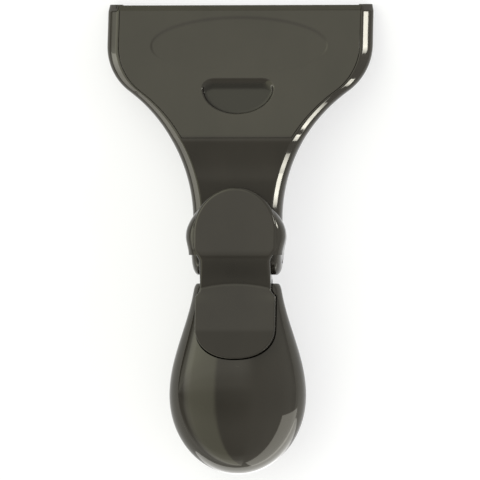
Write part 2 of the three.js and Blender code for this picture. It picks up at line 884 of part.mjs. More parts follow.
/** The whole bulb as a filled form, shrunk by an inset. */
function bulb(inset) {
  const frontY = shellFrontY - inset;
  const butt = roundSteps(bulbWideY, -handleReach + inset, 10).reverse();
  const roundStart = shellFrontY - frontRound;
  const front = [...steps(bulbWideY, roundStart, 9).slice(1), (roundStart + shellFrontY) / 2, frontY];
  const rows = inset > 0 ? front.filter((y) => y < frontY).concat(frontY) : front;
  return loft([...butt, ...rows], (y) => bulbRing(y, inset));
}

/** Opening that the lever dips into. */
function leverChannel() {
  const rows = leverStations(padEndY, hoodReach).filter((y) => y < valleyStartY);
  const low = channelFloorZ;
  const high = pivotHeight + 2 * bulbRise;
  const sides = loft(rows, (y) => {
    const half = leverHalfWidth(y) + runningGap;
    return mirrored([
      [0, high],
      [half, high],
      [half, low],
      [0, low],
    ]);
  });
  return leanEnd(join(sides, sides.translate([0, -channelEndGap, 0])));
}

/** Front and rear shells, split at the hinge height. */
function handleShells() {
  const outer = bulb(0);
  const inner = bulb(shellWall);
  const size = 2 * handleReach;
  const upper = block(-size, size, -size, 0, pivotHeight + seam / 2, size);
  const lower = block(-size, size, -size, 0, -overcut, pivotHeight - seam / 2);
  const wall = outer.subtract(inner);
  const bosses = join(...screwPlaces.map(([x, y]) => post(bossRadius, x, y, 0, size))).intersect(outer);
  const rib = block(-ribHalf, ribHalf, ribY - ribThickness / 2, ribY + ribThickness / 2, 0, shankLowZ - gap);
  const filled = join(wall, bosses, rib.intersect(outer));
  const mouth = block(
    -shankHalf - gap,
    shankHalf + gap,
    shankEndY / 2,
    0,
    shankLowZ - gap,
    channelFloorZ + overcut,
  );
  const shankRoom = cut(
    block(-shankHalf - gap, shankHalf + gap, shankEndY - gap, 0, shankLowZ - gap, shankTopZ + gap),
    post(bossRadius + gap / 2, ...screwPlaces[0], 0, size),
  );
  const screwHoles = screwPlaces.flatMap(([x, y]) => {
    const { seat, tip } = screwHeights([x, y]);
    return [
      post(screwRadius + gap, x, y, 0, tip + gap),
      post(screwHeadRadius + gap, x, y, -overcut, seat + gap),
    ];
  });
  const bored = cut(filled, mouth, shankRoom, leverChannel(), ...screwHoles);
  return { front: bored.intersect(upper), rear: bored.intersect(lower) };
}

/** Core that joins the hinge to the handle: tongue, shank, lever ears and spring seat. */
function hingeCore() {
  const tongue = rod(tongueRadius, -tongueHalf, tongueHalf, 0, pivotHeight);
  const shank = block(-shankHalf, shankHalf, shankEndY, 0, shankLowZ, shankTopZ);
  const ears = [1, -1].map((side) => {
    const x0 = side > 0 ? earInner : -shankHalf;
    const eye = rod(earRadius, x0, x0 + shankHalf - earInner, leverPinY, leverPinZ, smallSides);
    const stem = block(
      x0,
      x0 + shankHalf - earInner,
      leverPinY - earRadius,
      leverPinY + earRadius,
      shankTopZ - overcut,
      leverPinZ,
    );
    return join(eye, stem);
  });
  const seatRadius = springRadius - springWire - runningGap;
  const seat = post(seatRadius, 0, springY, shankTopZ - overcut, shankTopZ + springPost);
  const solidCore = join(tongue, shank, ...ears, seat);
  return cut(
    solidCore,
    rod(bushOuter + gap, -tongueHalf - overcut, tongueHalf + overcut, 0, pivotHeight),
    rod(leverPinRadius + gap, -shankHalf - overcut, shankHalf + overcut, leverPinY, leverPinZ, smallSides),
    post(bossRadius + gap, ...screwPlaces[0], 0, neckTopZ),
  );
}

/** Screw from the back: flat head and plain shank. */
function screw([x, y]) {
  const { headLow, seat, tip } = screwHeights([x, y]);
  return join(
    post(screwHeadRadius, x, y, headLow, seat),
    post(screwRadius, x, y, seat - overcut, tip),
  );
}

/** Thin washer between tongue and cheek; side is 1 for right and -1 for left. */
function thrustWasher(side) {
  const play = (cheekInner - tongueHalf - washerThickness) / 2;
  const x0 = side > 0 ? tongueHalf + play : -cheekInner + play;
  return sleeve(pivotRadius + gap, washerRadius, x0, x0 + washerThickness, 0, pivotHeight);
}

/** Cap that closes a cheek's bore; side is 1 for right and -1 for left. */
function pivotCap(side) {
  const x0 = side > 0 ? cheekOuter - capThickness : -cheekOuter;
  return rod(capRadius, x0, x0 + capThickness, 0, pivotHeight);
}

// Assembly

const tool = new THREE.Group();
tool.position.set(0, (handleReach - headReach) / 2, 0);

/** Adds one named sub-part to the tool. */
function add(name, body, material) {
  const mesh = new THREE.Mesh(geometryOf(body), material);
  mesh.name = name;
  tool.add(mesh);
}

const shells = handleShells();
add('handle_front_shell', shells.front, blackPlastic());
add('handle_rear_shell', shells.rear, blackPlastic());
add('hinge_core', hingeCore(), corePlastic());
screwPlaces.forEach((place, i) => add(`handle_screw_${i + 1}`, screw(place), steel()));
const pinHalf = cheekOuter - capThickness - 2 * gap;
const leverPinHalf = valleyHalf - gap;
add('pivot_bush', sleeve(pivotRadius + gap, bushOuter, -tongueHalf, tongueHalf, 0, pivotHeight), nylon());
add('thrust_washer_right', thrustWasher(1), nylon());
add('thrust_washer_left', thrustWasher(-1), nylon());
add('lever_pin', rod(leverPinRadius, -leverPinHalf, leverPinHalf, leverPinY, leverPinZ, smallSides), steel());
add('lever_spring', leverSpring(), steel());
add('head_frame', headFrame(), blackPlastic());
add('pivot_pin', rod(pivotRadius, -pinHalf, pinHalf, 0, pivotHeight), steel());
add('pivot_cap_right', pivotCap(1), blackPlastic());
add('pivot_cap_left', pivotCap(-1), blackPlastic());
add('blade', blade(), bladeSteel());
add('blade_cover', bladeCover(), coverPlastic());
add('release_lever', releaseLever(), blackPlastic());
add('lock_shoe_right', lockShoe(1), rubber());
add('lock_shoe_left', lockShoe(-1), rubber());

const assembly = new THREE.Group();
assembly.add(tool);

export default assembly;
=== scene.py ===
"""Looks of the aquarium algae scraper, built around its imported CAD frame.

Every form is drawn in millimetres with the hinge axis at Y = 0 and the table at Z = 0, as the CAD
source draws it, and is turned into metres in the row frame when it becomes a piece.
"""

import logging
import math
from dataclasses import dataclass
from enum import Enum
from typing import Callable, Sequence

import bmesh
import bpy
from mathutils import Matrix, Vector


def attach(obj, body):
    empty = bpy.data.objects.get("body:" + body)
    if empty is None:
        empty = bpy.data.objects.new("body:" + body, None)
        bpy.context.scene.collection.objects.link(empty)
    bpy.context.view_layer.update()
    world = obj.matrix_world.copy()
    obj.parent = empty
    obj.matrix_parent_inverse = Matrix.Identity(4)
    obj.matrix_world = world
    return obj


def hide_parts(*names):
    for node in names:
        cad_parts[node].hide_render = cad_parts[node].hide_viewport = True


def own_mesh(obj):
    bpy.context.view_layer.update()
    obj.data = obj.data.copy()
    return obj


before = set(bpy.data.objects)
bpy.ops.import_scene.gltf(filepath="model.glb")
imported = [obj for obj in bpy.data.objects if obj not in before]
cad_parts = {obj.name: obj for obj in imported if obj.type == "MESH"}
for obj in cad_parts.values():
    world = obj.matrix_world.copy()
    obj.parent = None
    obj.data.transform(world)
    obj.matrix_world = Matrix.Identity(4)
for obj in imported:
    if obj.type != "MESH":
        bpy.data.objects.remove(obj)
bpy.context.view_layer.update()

LOG = logging.getLogger("algae_scraper")
MILLIMETRE = 0.001
ROW_SHIFT_Y = -2.3

Point2 = tuple[float, float]
Point3 = tuple[float, float, float]
Colour = tuple[float, float, float, float]
Names = tuple[str, ...]
HeightAt = Callable[[float, float], float]
Socket = bpy.types.NodeSocket
Material = bpy.types.Material

QUARTER = math.pi / 2
FULL_TURN = 2.0 * math.pi
LIP_STEPS = 5
ARC_STEPS = 12
TALL = 40.0
CORNERS = ((-1.0, -1.0), (1.0, -1.0), (1.0, 1.0), (-1.0, 1.0))
PLASTIC_IOR = 1.5
NOISE_MIDDLE: Point2 = (0.3, 0.7)
NO_GRID = 180.0


class Combine(Enum):
    """Ways to combine two solids."""

    JOIN = "UNION"
    CUT = "DIFFERENCE"
    KEEP = "INTERSECT"


class Sum(Enum):
    """Ways to work two numbers of a material into one."""

    LARGER = "MAXIMUM"
    PRODUCT = "MULTIPLY"


class Side(Enum):
    """The two sides of the tool, with the sign of X."""

    RIGHT = 1
    LEFT = -1


class Face(Enum):
    """Shapes of a lamp's face."""

    SQUARE = "RECTANGLE"
    ROUND = "ELLIPSE"


class Half(Enum):
    """The two handle shells, with the sign of Z from the seam."""

    FRONT = 1
    REAR = -1


def span(start: float, end: float, count: int) -> list[float]:
    """Even steps from start to end, both included."""
    return [start + (end - start) * i / count for i in range(count + 1)]


def swept(start: float, end: float, count: int) -> list[float]:
    """Steps that crowd together towards the end, for a round nose."""
    return [start + (end - start) * math.sin(turn) for turn in span(0.0, QUARTER, count)]


def chained(turns: Sequence[float], steps: Sequence[int]) -> list[float]:
    """Even steps from each turn to the next.

    Args:
        turns: The turns, in order.
        steps: Number of steps from each turn to the next.

    Returns:
        All places, from the first turn to the last.
    """
    places = [turns[0]]
    for start, end, count in zip(turns, turns[1:], steps):
        places += span(start, end, count)[1:]
    return places


def eased(value: float, start: float, end: float) -> float:
    """Smooth rise from 0 at start to 1 at end."""
    share = min(max((value - start) / (end - start), 0.0), 1.0)
    return share * share * (3.0 - 2.0 * share)


def between(value: float, v0: float, r0: float, v1: float, r1: float) -> float:
    """Straight-line result between two places."""
    return r0 + (r1 - r0) * (value - v0) / (v1 - v0)


def round_end(along: float, reach: float, half: float, fullness: float) -> float:
    """Half-width of a rounded end that closes at the given reach."""
    share = min(abs(along / reach), 1.0)
    return half * max(0.0, 1.0 - share**fullness) ** (1.0 / fullness)


def quarter_round(steps: int) -> list[Point2]:
    """Quarter of a circle of radius 1: distances from its side and from its top, side first."""
    return [(1.0 - math.cos(turn), 1.0 - math.sin(turn)) for turn in span(0.0, QUARTER, steps)]


def soft_ramp(distance: float, width: float) -> float:
    """Zero before a bend and the distance after it, with the bend rounded.

    Args:
        distance: Distance past the bend.
        width: Half the length of the round.

    Returns:
        The distance that counts.
    """
    if distance <= -width:
        return 0.0
    if distance >= width:
        return distance
    return (distance + width) ** 2 / (4.0 * width)


def grown(outline: Sequence[Point2], distance: float) -> list[Point2]:
    """Moves a closed outline outwards.

    Args:
        outline: Points in anticlockwise order.
        distance: How far each point moves along its own normal; inwards if negative.

    Returns:
        As many points as the outline has.
    """
    moved = []
    count = len(outline)
    for i, (u, v) in enumerate(outline):
        before = outline[i - 1]
        after = outline[(i + 1) % count]
        du, dv = after[0] - before[0], after[1] - before[1]
        length = math.hypot(du, dv) or 1.0
        moved.append((u + dv / length * distance, v - du / length * distance))
    return moved


@dataclass
class Solid:
    """A closed mesh in drawing coordinates, in millimetres."""

    obj: bpy.types.Object

    @classmethod
    def skin(cls, rings: Sequence[Sequence[Point3]]) -> "Solid":
        """Skins closed rings of points and closes both ends.

        Args:
            rings: Rings with the same number of points each.

        Returns:
            The closed solid.
        """
        count, rows = len(rings[0]), len(rings)
        points = [point for ring in rings for point in ring]
        faces: list[tuple[int, ...]] = []
        for row in range(rows - 1):
            for i in range(count):
                a, b = row * count + i, row * count + (i + 1) % count
                faces.append((a, b, b + count, a + count))
        faces.append(tuple(range(count - 1, -1, -1)))
        faces.append(tuple(range((rows - 1) * count, rows * count)))
        mesh = bpy.data.meshes.new("form")
        mesh.from_pydata(points, [], faces)
        form = bmesh.new()
        form.from_mesh(mesh)
        bmesh.ops.recalc_face_normals(form, faces=form.faces)
        form.to_mesh(mesh)
        form.free()
        obj = bpy.data.objects.new("form", mesh)
        bpy.context.scene.collection.objects.link(obj)
        return cls(obj)

    @classmethod
    def block(cls, x: Point2, y: Point2, z: Point2) -> "Solid":
        """A box between two limits on each axis, used as a cutting tool."""
        floor = [(x[0], y[0]), (x[1], y[0]), (x[1], y[1]), (x[0], y[1])]
        return cls.skin([[(u, v, height) for u, v in floor] for height in z])

    @classmethod
    def turned(cls, profile: Sequence[Point2], centre: Point2, along_x: bool, sides: int = 64) -> "Solid":
        """A turned form.

        Args:
            profile: Radius and axial place of each point, from one end to the other.
            centre: The axis, as Y and Z for an axis along X, or as X and Y for one along Z.
            along_x: Whether the axis runs along X; along Z if not.
            sides: Facets round the axis.

        Returns:
            The turned solid.
        """
        turns = [FULL_TURN * i / sides for i in range(sides)]
        rings = []
        for radius, place in profile:
            circle = [(centre[0] + radius * math.cos(t), centre[1] + radius * math.sin(t)) for t in turns]
            rings.append([(place, u, v) if along_x else (u, v, place) for u, v in circle])
        return cls.skin(rings)

    @classmethod
    def rod(cls, radius: float, x: Point2, y: float, z: float, sides: int = 64) -> "Solid":
        """A round bar along X."""
        return cls.turned([(radius, x[0]), (radius, x[1])], (y, z), True, sides)

    @classmethod
    def post(cls, radius: float, place: Point2, z: Point2, sides: int = 48) -> "Solid":
        """A round post along Z."""
        return cls.turned([(radius, z[0]), (radius, z[1])], place, False, sides)

    @classmethod
    def drawn(cls, side_view: Sequence[Point2], x: Point2) -> "Solid":
        """A side view in Y and Z, drawn out along X."""
        return cls.skin([[(place, y, z) for y, z in side_view] for place in x])

    def combine(self, mode: Combine, *tools: "Solid") -> "Solid":
        """Joins, cuts or keeps what is common with other solids, which are used up.

        Args:
            mode: How the solids are combined.
            tools: The other solids.

        Returns:
            The solid itself.
        """
        for tool in tools:
            change = self.obj.modifiers.new("shape", "BOOLEAN")
            change.operation = mode.value
            change.solver = "MANIFOLD"
            change.object = tool.obj
        graph = bpy.context.evaluated_depsgraph_get()
        mesh = bpy.data.meshes.new_from_object(self.obj.evaluated_get(graph))
        self.obj.modifiers.clear()
        used = self.obj.data
        self.obj.data = mesh
        bpy.data.meshes.remove(used)
        for tool in tools:
            bpy.data.meshes.remove(tool.obj.data)
        return self

    def copy(self) -> "Solid":
        """Doubles the solid.

        Returns:
            A second solid of the same form.
        """
        twin = self.obj.copy()
        twin.data = self.obj.data.copy()
        bpy.context.scene.collection.objects.link(twin)
        return Solid(twin)

    def mirrored(self) -> "Solid":
        """Doubles the solid on the other side of the tool.

        Returns:
            The mirrored copy.
        """
        twin = self.copy()
        twin.obj.data.transform(Matrix.Scale(-1.0, 4, (1.0, 0.0, 0.0)))
        twin.obj.data.flip_normals()
        return twin

    def moved(self, change: Matrix) -> "Solid":
        """The solid after a change of place."""
        self.obj.data.transform(change)
        return self

    def bent(self, change: Callable[[Point3], Point3]) -> "Solid":
        """Moves every point of the solid to its own new place.

        Args:
            change: Gives the new place of a point.

        Returns:
            The solid itself.
        """
        for vertex in self.obj.data.vertices:
            vertex.co = change(tuple(vertex.co))
        return self

    def piece(self, name: str, crease: float) -> bpy.types.Object:
        """Turns the solid into a smooth-shaded object in the row frame.

        Args:
            name: Name of the piece.
            crease: Angle in degrees above which an edge stays sharp.

        Returns:
            The object, in metres.
        """
        mesh = self.obj.data
        mesh.transform(Matrix.Scale(MILLIMETRE, 4) @ Matrix.Translation((0.0, ROW_SHIFT_Y, 0.0)))
        mesh.materials.clear()
        mesh.shade_smooth()
        mesh.set_sharp_from_angle(angle=math.radians(crease))
        self.obj.name = mesh.name = name
        even = self.obj.modifiers.new("even_normals", "WEIGHTED_NORMAL")
        even.keep_sharp = True
        return self.obj


@dataclass(frozen=True)
class Bump:
    """Depth of a fine relief in metres, and how strongly it shows."""

    depth: float
    strength: float


class Recipe:
    """Adds and links the nodes of one material."""

    def __init__(self, name: str) -> None:
        """Starts a material with one principled shader."""
        self.material = bpy.data.materials.new(name)
        self.material.use_nodes = True
        self.tree = self.material.node_tree
        self.shader = self.tree.nodes["Principled BSDF"]

    def node(self, kind: str) -> bpy.types.Node:
        """Adds a node."""
        return self.tree.nodes.new(kind)

    def link(self, source: Socket, target: Socket) -> None:
        """Links two sockets."""
        self.tree.links.new(source, target)

    def place(self, scale: Point3, shift: Point3 = (0.0, 0.0, 0.0)) -> Socket:
        """Object coordinates.

        Args:
            scale: Stretch along each axis, per metre.
            shift: What is added after the stretch.

        Returns:
            The coordinates.
        """
        source = self.node("ShaderNodeTexCoord")
        mapping = self.node("ShaderNodeMapping")
        mapping.inputs["Location"].default_value = shift
        mapping.inputs["Scale"].default_value = scale
        self.link(source.outputs["Object"], mapping.inputs["Vector"])
        return mapping.outputs["Vector"]

    def noise(self, scale: Point3, detail: float = 3.0) -> Socket:
        """Cloudy noise.

        Args:
            scale: Features per metre along each axis.
            detail: Levels of finer features.

        Returns:
            A number from 0 to 1.
        """
        node = self.node("ShaderNodeTexNoise")
        node.inputs["Scale"].default_value = 1.0
        node.inputs["Detail"].default_value = detail
        self.link(self.place(scale), node.inputs["Vector"])
        return node.outputs["Fac"]

    def even_noise(self, scale: float, detail: float = 3.0) -> Socket:
        """Cloudy noise with the same scale along each axis."""
        return self.noise((scale, scale, scale), detail)

    def stretched(
        self, value: Socket, start: float, end: float, low: float = 0.0, high: float = 1.0
    ) -> Socket:
        """Spreads a range of numbers over another.

        Args:
            value: The number.
            start: Start of its range.
            end: End of its range.
            low: Result at the start and before it.
            high: Result at the end and after it.

        Returns:
            The result.
        """
        node = self.node("ShaderNodeMapRange")
        for name, number in (("From Min", start), ("From Max", end), ("To Min", low), ("To Max", high)):
            node.inputs[name].default_value = number
        self.link(value, node.inputs["Value"])
        return node.outputs["Result"]

    def ranged(self, value: Socket, low: float, high: float) -> Socket:
        """Spreads the middle of a noise over a range of numbers."""
        return self.stretched(value, *NOISE_MIDDLE, low, high)

    def worked(self, how: Sum, first: Socket, second: Socket | float) -> Socket:
        """Works two numbers into one.

        Args:
            how: How they are worked together.
            first: The first number.
            second: The second number, or a constant.

        Returns:
            The result.
        """
        node = self.node("ShaderNodeMath")
        node.operation = how.value
        self.link(first, node.inputs[0])
        if isinstance(second, float):
            node.inputs[1].default_value = second
        else:
            self.link(second, node.inputs[1])
        return node.outputs["Value"]

    def shades(self, value: Socket, stops: Sequence[tuple[float, Colour]]) -> Socket:
        """Colours a number.

        Args:
            value: The number, from 0 to 1.
            stops: Places and their colours, in rising order.

        Returns:
            The colour.
        """
        node = self.node("ShaderNodeValToRGB")
        ramp = node.color_ramp
        while len(ramp.elements) < len(stops):
            ramp.elements.new(0.5)
        for element, (place, colour) in zip(ramp.elements, stops):
            element.position = place
            element.color = colour
        self.link(value, node.inputs["Fac"])
        return node.outputs["Color"]

    def mottled(self, value: Socket, colour: Point3, dark: float, light: float) -> None:
        """Gives the base a colour that a noise makes darker and lighter.

        Args:
            value: The noise.
            colour: The colour between.
            dark: Factor where the noise is low.
            light: Factor where the noise is high.
        """
        stops = [(place, tone(colour, factor)) for place, factor in zip(NOISE_MIDDLE, (dark, light))]
        self.feed("Base Color", self.shades(value, stops))

    def mixed(self, share: Socket, first: Socket, second: Socket) -> Socket:
        """Mixes two numbers.

        Args:
            share: Share of the second number, from 0 to 1.
            first: The first number.
            second: The second number.

        Returns:
            The mix.
        """
        node = self.node("ShaderNodeMix")
        self.link(share, node.inputs["Factor"])
        self.link(first, node.inputs["A"])
        self.link(second, node.inputs["B"])
        return node.outputs["Result"]

    def bumped(self, height: Socket, bump: Bump) -> None:
        """Adds a bump on top of the ones before it.

        Args:
            height: The noise that the bump follows.
            bump: Its depth and strength.
        """
        node = self.node("ShaderNodeBump")
        node.inputs["Distance"].default_value = bump.depth
        node.inputs["Strength"].default_value = bump.strength
        self.link(height, node.inputs["Height"])
        normal = self.shader.inputs["Normal"]
        if normal.is_linked:
            self.link(normal.links[0].from_socket, node.inputs["Normal"])
        self.link(node.outputs["Normal"], normal)

    def feed(self, name: str, value: Socket) -> None:
        """Links a value to one of the shader's sockets."""
        self.link(value, self.shader.inputs[name])

    def fix(self, **settings: float | Colour) -> None:
        """Sets constants on the shader, by socket name with underscores for spaces."""
        for key, value in settings.items():
            self.shader.inputs[key.replace("_", " ")].default_value = value


def tone(colour: Point3, factor: float) -> Colour:
    """A colour made lighter or darker, as four numbers."""
    return (colour[0] * factor, colour[1] * factor, colour[2] * factor, 1.0)


@dataclass(frozen=True)
class Oval:
    """The bare oval on the cover, in metres in the row frame, seen from above.

    Args:
        middle: Its middle.
        half: Its half-width and half-height.
        edge: Share of its size at which its finish is complete.
        duller: How many times duller it is than the worst polish, at least and at most.
        grain: Features of its grain per metre.
    """

    middle: Point2
    half: Point2
    edge: float = 0.96
    duller: Point2 = (1.8, 2.6)
    grain: float = 900.0


@dataclass(frozen=True)
class Hollow:
    """A sunk place on a sloping face, in metres in the row frame; its finish is rougher and its colour
    carries painted shade.

    Args:
        face: A point of the face.
        up: Direction straight out of the face.
        front_y: Place in front of which the face is not sunk.
        depths: Depths at which its rough finish and painted shade start and are complete.
        front_edge: Length over which its rough finish and painted shade end in front.
        roughness: Lowest and highest roughness of its finish.
        grain: Features of its grain per metre.
    """

    face: Point3
    up: Point3
    front_y: float
    depths: Point2 = (0.0003, 0.0009)
    front_edge: float = 0.0005
    roughness: Point2 = (0.3, 0.4)
    grain: float = 2600.0


@dataclass(frozen=True)
class GlossPlastic:
    """Polished moulded plastic with a faint flow pattern and fine polishing marks.

    Args:
        name: Name of the material.
        colour: Linear base colour.
        tint: Tint of what it mirrors.
        smooth: Roughness where the polish is best.
        dull: Roughness where it is worst.
        flow: Features of the flow pattern per metre, along each axis.
        flow_tones: Places of the flow pattern and the tones of the colour there; the darkest stop, at 0,
            gives the painted shade in the hollow.
        polish: Features of the polish per metre.
        ripples: Features of the faint waviness per metre.
        ripple_bump: Relief of the waviness.
        marks: Features of the polishing marks per metre, along each axis.
        mark_bump: Relief of the marks.
        matt_oval: Place on the cover that is a little duller, if there is one.
        hollow: Sunk place that is not polished and has painted shade, if there is one.
    """

    name: str
    colour: Point3 = (0.0188, 0.0162, 0.0125)
    tint: Point3 = (1.0, 0.97, 0.84)
    smooth: float = 0.035
    dull: float = 0.07
    flow: Point3 = (55.0, 30.0, 55.0)
    # The stop at 0 is the painted shade that the thumb hollow's colour falls to.
    flow_tones: tuple[Point2, ...] = ((0.0, 0.4), (0.35, 0.85), (0.65, 1.15))
    polish: float = 160.0
    ripples: float = 420.0
    ripple_bump: Bump = Bump(0.00002, 0.12)
    marks: Point3 = (9000.0, 700.0, 9000.0)
    mark_bump: Bump = Bump(0.000002, 0.10)
    matt_oval: Oval | None = None
    hollow: Hollow | None = None

    def build(self) -> Material:
        """Makes the finish.

        Returns:
            The node material.
        """
        recipe = Recipe(self.name)
        recipe.fix(IOR=PLASTIC_IOR, Specular_Tint=tone(self.tint, 1.0))
        flow = recipe.noise(self.flow, detail=4.0)
        polish = recipe.ranged(recipe.even_noise(self.polish), self.smooth, self.dull)
        if self.matt_oval:
            polish = self._oval_polish(recipe, self.matt_oval, polish)
        if self.hollow:
            proud = self._hollow_mask(recipe, self.hollow)
            # Painted shade: the flow falls to 0 down in the hollow, which darkens its colour to the darkest
            # tone.
            flow = recipe.worked(Sum.PRODUCT, flow, proud)
            grain = recipe.even_noise(self.hollow.grain)
            polish = recipe.mixed(proud, recipe.ranged(grain, *self.hollow.roughness), polish)
        stops = [(place, tone(self.colour, factor)) for place, factor in self.flow_tones]
        recipe.feed("Base Color", recipe.shades(flow, stops))
        recipe.feed("Roughness", polish)
        recipe.bumped(recipe.even_noise(self.ripples, detail=1.0), self.ripple_bump)
        recipe.bumped(recipe.noise(self.marks, detail=2.0), self.mark_bump)
        return recipe.material

    def _oval_polish(self, recipe: Recipe, oval: Oval, polish: Socket) -> Socket:
        """Makes the polish duller inside the oval, with a soft edge.

        Args:
            recipe: The material.
            oval: The oval.
            polish: Roughness outside it.

        Returns:
            Roughness everywhere.
        """
        (x, y), (half_x, half_y) = oval.middle, oval.half
        where = recipe.place((1.0 / half_x, 1.0 / half_y, 0.0), (-x / half_x, -y / half_y, 0.0))
        distance = recipe.node("ShaderNodeVectorMath")
        distance.operation = "LENGTH"
        recipe.link(where, distance.inputs[0])
        inside = recipe.stretched(distance.outputs["Value"], 1.0, oval.edge)
        low, high = (self.dull * factor for factor in oval.duller)
        return recipe.mixed(inside, polish, recipe.ranged(recipe.even_noise(oval.grain), low, high))

    def _hollow_mask(self, recipe: Recipe, hollow: Hollow) -> Socket:
        """Tells the hollow from the rest of the face.

        Args:
            recipe: The material.
            hollow: The hollow.

        Returns:
            0 down in the hollow and 1 elsewhere.
        """
        source = recipe.node("ShaderNodeTexCoord")
        height = recipe.node("ShaderNodeVectorMath")
        height.operation = "DOT_PRODUCT"
        height.inputs[1].default_value = hollow.up
        recipe.link(source.outputs["Object"], height.inputs[0])
        face = Vector(hollow.face).dot(Vector(hollow.up))
        start, full = hollow.depths
        sunk = recipe.stretched(height.outputs["Value"], face - full, face - start)
        split = recipe.node("ShaderNodeSeparateXYZ")
        recipe.link(source.outputs["Object"], split.inputs["Vector"])
        ahead = recipe.stretched(split.outputs["Y"], hollow.front_y, hollow.front_y + hollow.front_edge)
        return recipe.worked(Sum.LARGER, sunk, ahead)


@dataclass(frozen=True)
class MouldedPlastic:
    """Plain moulded plastic with a fine spark-eroded grain, for pieces that stay hidden.

    Args:
        name: Name of the material.
        colour: Linear base colour.
        smooth: Lowest roughness.
        dull: Highest roughness.
        grain: Features of the grain per metre.
        cloud: Features of the mottling per metre.
        tones: Factors of the colour in the darker and lighter clouds.
        bump: Relief of the grain.
    """

    name: str
    colour: Point3
    smooth: float = 0.42
    dull: float = 0.58
    grain: float = 2600.0
    cloud: float = 90.0
    tones: Point2 = (0.82, 1.18)
    bump: Bump = Bump(0.00004, 0.3)

    def build(self) -> Material:
        """Makes the finish.

        Returns:
            The node material.
        """
        recipe = Recipe(self.name)
        recipe.fix(IOR=PLASTIC_IOR)
        recipe.mottled(recipe.even_noise(self.cloud, detail=4.0), self.colour, *self.tones)
        grain = recipe.even_noise(self.grain, detail=2.0)
        recipe.feed("Roughness", recipe.ranged(grain, self.smooth, self.dull))
        recipe.bumped(grain, self.bump)
        return recipe.material


@dataclass(frozen=True)
class GroundSteel:
    """Stainless steel with grinding lines along one axis.

    Args:
        name: Name of the material.
        colour: Linear base colour.
        lines: Features per metre along each axis; the small number runs with the lines.
        tones: Factors of the colour in the darker and lighter lines.
        smooth: Lowest roughness.
        dull: Highest roughness.
        bump: Relief of the lines.
    """

    name: str
    colour: Point3 = (0.55, 0.56, 0.57)
    lines: Point3 = (120.0, 5200.0, 5200.0)
    tones: Point2 = (0.86, 1.1)
    smooth: float = 0.2
    dull: float = 0.36
    bump: Bump = Bump(0.000012, 0.35)

    def build(self) -> Material:
        """Makes the finish.

        Returns:
            The node material.
        """
        recipe = Recipe(self.name)
        recipe.fix(Metallic=1.0)
        lines = recipe.noise(self.lines)
        recipe.mottled(lines, self.colour, *self.tones)
        recipe.feed("Roughness", recipe.ranged(lines, self.smooth, self.dull))
        recipe.bumped(lines, self.bump)
        return recipe.material


@dataclass(frozen=True)
class Fits:
    """Clearances that all pieces share.

    Args:
        gap: Gap between two pieces that stay together.
        running: Gap between two pieces that turn on each other.
        over: How far a cut goes past the face that it cuts.
    """

    gap: float = 0.3
    running: float = 0.4
    over: float = 1.0


@dataclass(frozen=True)
class Pivot:
    """Sizes of the hinge that several sub-assemblies share."""

    height: float = 13.0
    neck_top: float = 17.0
    cheek_radius: float = 8.2
    cheek_inner: float = 9.3
    cheek_outer: float = 12.9
    pin_radius: float = 2.5
    tongue_radius: float = 7.4
    lever_pin: Point2 = (-10.9, 16.2)
    lever_pin_radius: float = 1.25
    cap_radius: float = 4.5
    cap_thickness: float = 1.0


@dataclass(frozen=True)
class Shank:
    """Sizes of the bar inside the handle, and the places of what sits on it."""

    half: float = 6.8
    z: Point2 = (8.5, 14.6)
    end_y: float = -41.8
    spring_y: float = -24.7
    screw_y: float = -37.0


FITS = Fits()
PIVOT = Pivot()
SHANK = Shank()


def dress(
    solid: Solid, name: str, body: str, material: Material, crease: float = 30.0
) -> bpy.types.Object:
    """Turns a solid into a finished piece that stands for the CAD node of the same name.

    Args:
        solid: The form, in drawing coordinates.
        name: Name of the CAD node that it replaces.
        body: CAD body that it rides on.
        material: Its finish.
        crease: Angle in degrees above which an edge stays sharp.

    Returns:
        The piece.
    """
    piece = solid.piece(name + "_look", crease)
    piece.data.materials.append(material)
    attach(piece, body)
    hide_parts(name)
    LOG.info("%s: %d faces on %s", piece.name, len(piece.data.polygons), body)
    return piece


def stacked(outline: Sequence[Point2], levels: Sequence[tuple[float, HeightAt]]) -> Solid:
    """A form of stacked outlines, each grown by its own amount.

    Args:
        outline: Closed outline in X and Y, anticlockwise.
        levels: For each level from the bottom, how far it grows and its height at a place.

    Returns:
        The closed solid.
    """
    rings = []
    for growth, height in levels:
        rings.append([(x, y, height(x, y)) for x, y in grown(outline, growth)])
    return Solid.skin(rings)


def level(height: float) -> HeightAt:
    """The same height at every place."""
    return lambda x, y: height


def closed(right: Sequence[Point2]) -> list[Point2]:
    """Closes the right half of a symmetric outline, which runs from the rear to the front."""
    left = [(-x, y) for x, y in reversed(right) if x > 1e-9]
    return [*right, *left]


